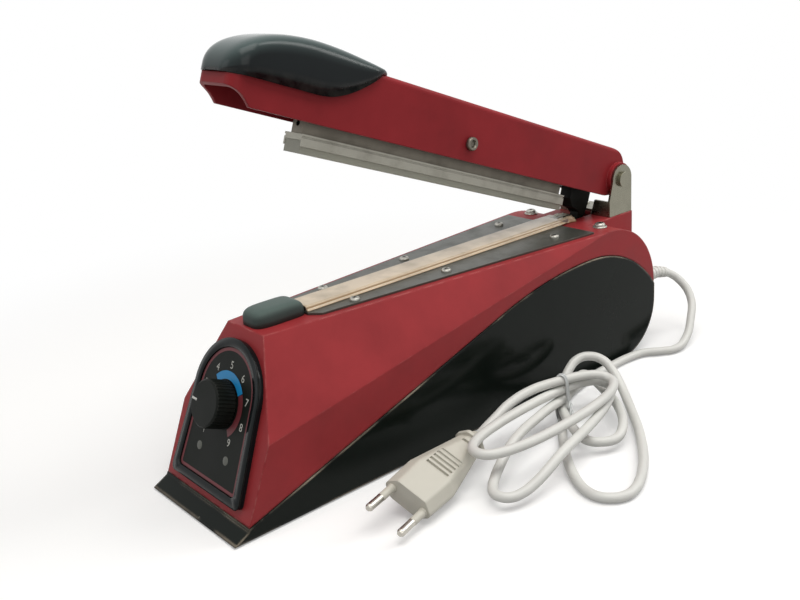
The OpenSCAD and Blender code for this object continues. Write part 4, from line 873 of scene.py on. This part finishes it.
class SEALER_OT_cord_relief(bpy.types.Operator):
    """Mould the ribbed strain relief round the cord where it leaves the casing"""
    bl_idname = "sealer.cord_relief"
    bl_label = "Cord relief"

    def execute(self, context):
        low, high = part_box("cord_gland")
        inside = low.y
        seat = CORD_CORNER.y - inside
        neck = (high.x - low.x) / 2
        cord = context.scene.sealer.sizes.cord_diameter / 2
        line = cord_points(LEAD_POINTS[:5])
        length = 24 * MM
        collar = 2 * MM
        groove = 0.7 * MM
        ribs = 7
        step = (length - collar) / ribs

        def middle(y):
            """The middle of the cord at a distance behind the casing."""
            for a, b in zip(line, line[1:]):
                if y <= b.y or b == line[-1]:
                    if y <= a.y:
                        return Vector((line[0].x, y, line[0].z))
                    return a.lerp(b, (y - a.y) / max(b.y - a.y, 1e-6))

        def ribbed(shape):
            profile = [(cord, 0), (neck - 2 * MM, 0), (neck - 2 * MM, seat), (neck, seat),
                       (neck, seat + 1.4 * MM), (neck - 0.6 * MM, seat + collar)]
            for i in range(ribs):
                wide = cord + 2.2 * MM - 1.5 * MM * i / ribs
                start = seat + collar + (length - collar) * i / ribs
                profile += [(wide, start), (wide, start + 0.55 * step), (wide - groove, start + 0.68 * step),
                            (wide - groove, start + 0.95 * step)]
            profile += [(cord + 0.5 * MM, seat + length), (cord * 0.98, seat + length)]
            for vert in lathe(shape, profile, Matrix.Identity(4), steps=28):
                y = inside + vert.co.z
                at = middle(y)
                lean = (middle(y + 1 * MM) - at).normalized() if y > line[0].y else Vector((0, 1, 0))
                side = lean.cross(Vector((0, 0, 1))).normalized()
                vert.co = at + side * vert.co.x + side.cross(lean) * vert.co.y

        piece = new_piece("cord_relief", ribbed, "base", "cord_white", smooth=50)
        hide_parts("cord_gland")
        return {"FINISHED"}


class SEALER_OT_handle(bpy.types.Operator):
    """Loft the skin of the handle cap over the end of the arm"""
    bl_idname = "sealer.handle"
    bl_label = "Handle"

    def execute(self, context):
        def skin(shape):
            rows = []
            for along, high in CAP_RIDGE:
                low = cap_low(along)
                high = max(high, low + 0.1)
                half = CAP_HALF - round_end(CAP_NOSE - along, 12) - round_end(along - CAP_TIP, 15)
                row = []
                for k in range(CAP_STEPS + 1):
                    turn = pi * k / CAP_STEPS
                    rise = low + (high - low) * bow(sin(turn), CAP_BOW)
                    row.append(shape.verts.new(arm_place(half * bow(cos(turn), CAP_BOW), along, rise)))
                rows.append(row)
            for near, far in zip(rows, rows[1:]):
                for k in range(CAP_STEPS):
                    shape.faces.new((near[k], far[k], far[k + 1], near[k + 1]))
            shape.faces.new(reversed(rows[-1]))
            bmesh.ops.remove_doubles(shape, verts=shape.verts, dist=0.01 * MM)

        piece = new_piece("handle_cap_skin", skin, "arm", "handle_black", smooth=50)
        give_wall(piece, CAP_WALL)
        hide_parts("handle_cap")
        return {"FINISHED"}


class SEALER_OT_front_cap(bpy.types.Operator):
    """Dome the cap before the heated bar like a pillow"""
    bl_idname = "sealer.front_cap"
    bl_label = "Front cap"

    def execute(self, context):
        low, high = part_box("front_cap")
        high.y += 0.9 * MM
        middle = (low + high) / 2
        half = (high - low) / 2
        levels, steps = 16, 72
        rear_bow, front_bow = 0.34, 0.5

        def dome(shape):
            rings = []
            for k in range(levels):
                lift = pi / 2 * k / levels
                spread = bow(cos(lift), 0.42)
                rise = low.z + 2 * half.z * bow(sin(lift), 0.46)
                ring = []
                for i in range(steps):
                    turn = tau * i / steps
                    square = rear_bow if i < steps / 2 else front_bow
                    x = middle.x + half.x * spread * bow(cos(turn), square)
                    y = middle.y + half.y * spread * bow(sin(turn), square)
                    ring.append(shape.verts.new((x, y, rise)))
                rings.append(ring)
            for lower, upper in zip(rings, rings[1:]):
                for i in range(steps):
                    j = (i + 1) % steps
                    shape.faces.new((lower[i], lower[j], upper[j], upper[i]))
            top = shape.verts.new((middle.x, middle.y, high.z))
            for i in range(steps):
                shape.faces.new((rings[-1][i], rings[-1][(i + 1) % steps], top))

        piece = new_piece("front_cap_dome", dome, "base", "cap_slate", smooth=60)
        give_wall(piece, CAP_WALL)
        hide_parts("front_cap")
        return {"FINISHED"}


class SEALER_OT_plug_sleeves(bpy.types.Operator):
    """Put the insulating sleeves on the plug's pins"""
    bl_idname = "sealer.plug_sleeves"
    bl_label = "Plug sleeves"

    def execute(self, context):
        length = context.scene.sealer.sizes.sleeve_length
        end = length + 0.2 * MM
        flange, sleeve = 2.35 * MM, 2.08 * MM

        def sleeves(shape):
            for side in (-1, 1):
                place = PLUG_PLACE @ Matrix.Translation((0, side * PIN_ASIDE, PLUG_FRONT - 0.5 * MM))
                lathe(shape, [(0, 0), (flange, 0), (flange, 1.2 * MM), (sleeve, 1.5 * MM), (sleeve, length),
                              (1.9 * MM, end), (0, end)], place)

        new_piece("plug_sleeves", sleeves, "base", "ivory_plastic")
        return {"FINISHED"}


class SEALER_OT_dial_print(bpy.types.Operator):
    """Print the numerals, the bands and the border on the dial plate"""
    bl_idname = "sealer.dial_print"
    bl_label = "Dial print"

    def execute(self, context):
        sizes = context.scene.sealer.sizes
        count = sizes.numerals
        step = DIAL_SWEEP / (count - 1)

        def numerals(shape):
            for number in range(1, count + 1):
                letters = bpy.data.curves.new("numeral", "FONT")
                letters.body = str(number)
                letters.size = sizes.numeral_height / DIGIT_SHARE
                letters.align_x = "CENTER"
                letters.align_y = "CENTER"
                holder = link("numeral", letters)
                context.view_layer.update()
                drawn = holder.evaluated_get(context.evaluated_depsgraph_get())
                mesh = bpy.data.meshes.new_from_object(drawn)
                angle = radians((number - (count + 1) / 2) * step)
                mesh.transform(dial_place(sizes.numeral_radius * sin(angle),
                                          sizes.numeral_radius * cos(angle), PRINT_LIFT))
                shape.from_mesh(mesh)
                bpy.data.objects.remove(holder)
                bpy.data.curves.remove(letters)
                bpy.data.meshes.remove(mesh)

        def dots(shape):
            for side in (-1, 1):
                lathe(shape, [(0, 0.1 * MM), (1.9 * MM, 0.1 * MM), (2.2 * MM, 0)],
                      dial_place(side * 12.3 * MM, -24.4 * MM, 0.02 * MM), steps=28)

        def border(shape):
            front_faces(shape, "dial_plate")
            for thickness, drops_ring in ((0.6, True), (1.6, False)):
                ring = set(bmesh.ops.inset_region(shape, faces=shape.faces, thickness=thickness * MM,
                                                  use_boundary=True, use_even_offset=True)["faces"])
                drop = [face for face in shape.faces if (face in ring) == drops_ring]
                bmesh.ops.delete(shape, geom=drop, context="FACES")
            near = [face for face in shape.faces
                    if (face.calc_center_median() - DIAL_CENTRE).length < 15 * MM]
            bmesh.ops.delete(shape, geom=near, context="FACES")
            bmesh.ops.translate(shape, vec=DIAL_OUT * PRINT_LIFT, verts=shape.verts)

        def band(inner, outer, start, end):
            place = dial_place(lift=PRINT_LIFT)
            return lambda shape: ring_band(shape, inner * MM, outer * MM, start, end, place)

        def bead(shape):
            front_faces(shape, "dial_bezel")
            for thickness, depth in ((0.12, 0.25), (0.25, 0.25), (0.45, 0.2), (0.5, 0.08)):
                bmesh.ops.inset_region(shape, faces=shape.faces[:], thickness=thickness * MM,
                                       depth=depth * MM, use_boundary=True, use_even_offset=True)

        new_piece("bezel_bead", bead, "base", "bezel_black", smooth=60)
        new_piece("dial_numerals", numerals, "base", "print_pale", smooth=0)
        new_piece("dial_dots", dots, "base", "plate_grey")
        new_piece("dial_border", border, "base", "print_red", smooth=0)
        new_piece("dial_blue_band", band(12.5, 16.6, -44, 56), "base", "print_blue",
                  smooth=0)
        new_piece("dial_red_band", band(12.8, 16.5, 57, 144), "base", "print_red", smooth=0)
        return {"FINISHED"}


class SEALER_OT_screw_heads(bpy.types.Operator):
    """Fit domed screws with cross recesses in place of the plain ones"""
    bl_idname = "sealer.screw_heads"
    bl_label = "Screw heads"

    def execute(self, context):
        def upright(node, radius, height, washer):
            def heads(shape):
                for index, (low, high) in enumerate(islands(node)):
                    middle = (low + high) / 2
                    at = Vector((middle.x, middle.y, high.z - height))
                    place = Matrix.Translation(at) @ Matrix.Rotation(0.7 + 1.1 * index, 4, "Z")
                    screw_head(shape, place, radius, height)
                    long = at.z - low.z
                    lathe(shape, [(0, 0), (SCREW_SHANK, 0), (SCREW_SHANK, long), (0, long)],
                          Matrix.Translation((middle.x, middle.y, low.z)), steps=16)
                    if washer:
                        lathe(shape, [(0, 0), (WASHER_RADIUS, 0), (WASHER_RADIUS, 0.6 * washer),
                                      (WASHER_RADIUS - 0.3 * MM, washer), (0, washer)],
                              Matrix.Translation(at - Vector((0, 0, washer))))
            return heads

        for node, radius, height, washer in SCREWS:
            piece = new_piece(node + "_cross", upright(node, radius * MM, height * MM, washer * MM), "base",
                              "screw_metal", smooth=40)
            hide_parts(node)
        return {"FINISHED"}


class SEALER_OT_pivot(bpy.types.Operator):
    """Turn the pivot of the press bar, with its hollow head"""
    bl_idname = "sealer.pivot"
    bl_label = "Pivot"

    def execute(self, context):
        low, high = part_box("pivot_screw")
        middle = (low + high) / 2
        length = high.x - low.x
        place = Matrix.Translation((low.x, middle.y, middle.z)) @ Matrix.Rotation(radians(90), 4, "Y")
        shank, head = 2.5 * MM, (high.y - low.y) / 2
        seat = length - 2 * MM

        def turned(shape):
            lathe(shape, [(0, 0), (shank, 0), (shank, seat), (head, seat), (head, length - 0.6 * MM),
                          (head - 0.5 * MM, length), (2.3 * MM, length), (1.9 * MM, length - 0.4 * MM),
                          (1.5 * MM, length - 1.6 * MM), (0, length - 1.8 * MM)], place, steps=40)

        piece = new_piece("pivot_turned", turned, "arm", "steel", smooth=40)
        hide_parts("pivot_screw")
        return {"FINISHED"}


class SEALER_OT_cover_sheet(bpy.types.Operator):
    """Stretch the coated cloth over the heated bar, gathered at its rear end"""
    bl_idname = "sealer.cover_sheet"
    bl_label = "Cover sheet"

    def execute(self, context):
        low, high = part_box("ptfe_cover")
        half = (high.x - low.x) / 2
        corner = 1.6 * MM
        flare = 1.2 * MM
        drop = high.z - low.z - corner
        flat = half - corner
        bend = corner * pi / 2
        skirt = hypot(drop, flare)
        across = 2 * (skirt + bend + flat)
        spare = 6 * MM
        gathered = 9 * MM
        length = high.y - low.y + spare

        def wrap(distance):
            """Where a point lies that far from the middle of the top, round the corner."""
            side = copysign(1, distance)
            d = abs(distance)
            if d < flat:
                return side * d, high.z
            if d < flat + bend:
                a = (d - flat) / corner
                return side * (flat + corner * sin(a)), high.z - corner * (1 - cos(a))
            s = (d - flat - bend) / skirt
            return side * (half + flare * s), high.z - corner - drop * s

        def sheet(shape):
            bmesh.ops.create_grid(shape, x_segments=64, y_segments=160, size=0.5)
            for vert in shape.verts:
                u, v = vert.co.x, vert.co.y + 0.5
                x, z = wrap(u * across)
                y = low.y + v * length
                crease = noise.noise(Vector((x * 120, y * 45, 0))) * 0.12 * MM
                gather = ease((y - high.y + gathered) / gathered)
                past = ease((y - high.y) / spare)
                fold = noise.noise(Vector((x * 260, y * 150, 3.0))) * 1.2 * MM * gather
                pucker = sin(u * 34 + y * 260) * 0.4 * MM * gather
                rise = (fold + pucker - 0.7 * MM) * gather - abs(crease) * 0.5
                vert.co = Vector((x * (1 - 0.16 * gather + 0.1 * past) + fold * 0.5, y - 2 * fold * past,
                                  z + rise))

        piece = new_piece("cover_sheet", sheet, "base", "tan_cloth", smooth=80)
        give_wall(piece, 0.2 * MM)
        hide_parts("ptfe_cover")
        return {"FINISHED"}


OPERATORS = (
    SEALER_OT_stage,
    SEALER_OT_finishes,
    SEALER_OT_cord_tie,
    SEALER_OT_mains_cord,
    SEALER_OT_cord_relief,
    SEALER_OT_handle,
    SEALER_OT_front_cap,
    SEALER_OT_plug_sleeves,
    SEALER_OT_dial_print,
    SEALER_OT_screw_heads,
    SEALER_OT_pivot,
    SEALER_OT_cover_sheet,
)


class SEALER_PT_panel(bpy.types.Panel):
    """Lists the steps that dress the sealer, with its colours and sizes"""
    bl_idname = "SEALER_PT_panel"
    bl_label = "Hand impulse sealer"
    bl_space_type = "VIEW_3D"
    bl_region_type = "UI"
    bl_category = "Sealer"

    def draw(self, context):
        settings = context.scene.sealer
        for operator in OPERATORS:
            self.layout.operator(operator.bl_idname)
        for settings_group in (settings.colours, settings.sizes):
            box = self.layout.box()
            for name in settings_group.__annotations__:
                box.prop(settings_group, name)


CLASSES = (SealerColours, SealerSizes, SealerSettings, *OPERATORS, SEALER_PT_panel)


def register():
    for cls in CLASSES:
        bpy.utils.register_class(cls)
    bpy.types.Scene.sealer = PointerProperty(type=SealerSettings)


def unregister():
    del bpy.types.Scene.sealer
    for cls in reversed(CLASSES):
        bpy.utils.unregister_class(cls)


def main():
    register()
    bpy.ops.sealer.stage()
    bpy.ops.sealer.finishes()
    bpy.ops.sealer.cord_tie()
    bpy.ops.sealer.mains_cord()
    bpy.ops.sealer.cord_relief()
    bpy.ops.sealer.handle()
    bpy.ops.sealer.front_cap()
    bpy.ops.sealer.plug_sleeves()
    bpy.ops.sealer.dial_print()
    bpy.ops.sealer.screw_heads()
    bpy.ops.sealer.pivot()
    bpy.ops.sealer.cover_sheet()


if __name__ == "__main__":
    main()
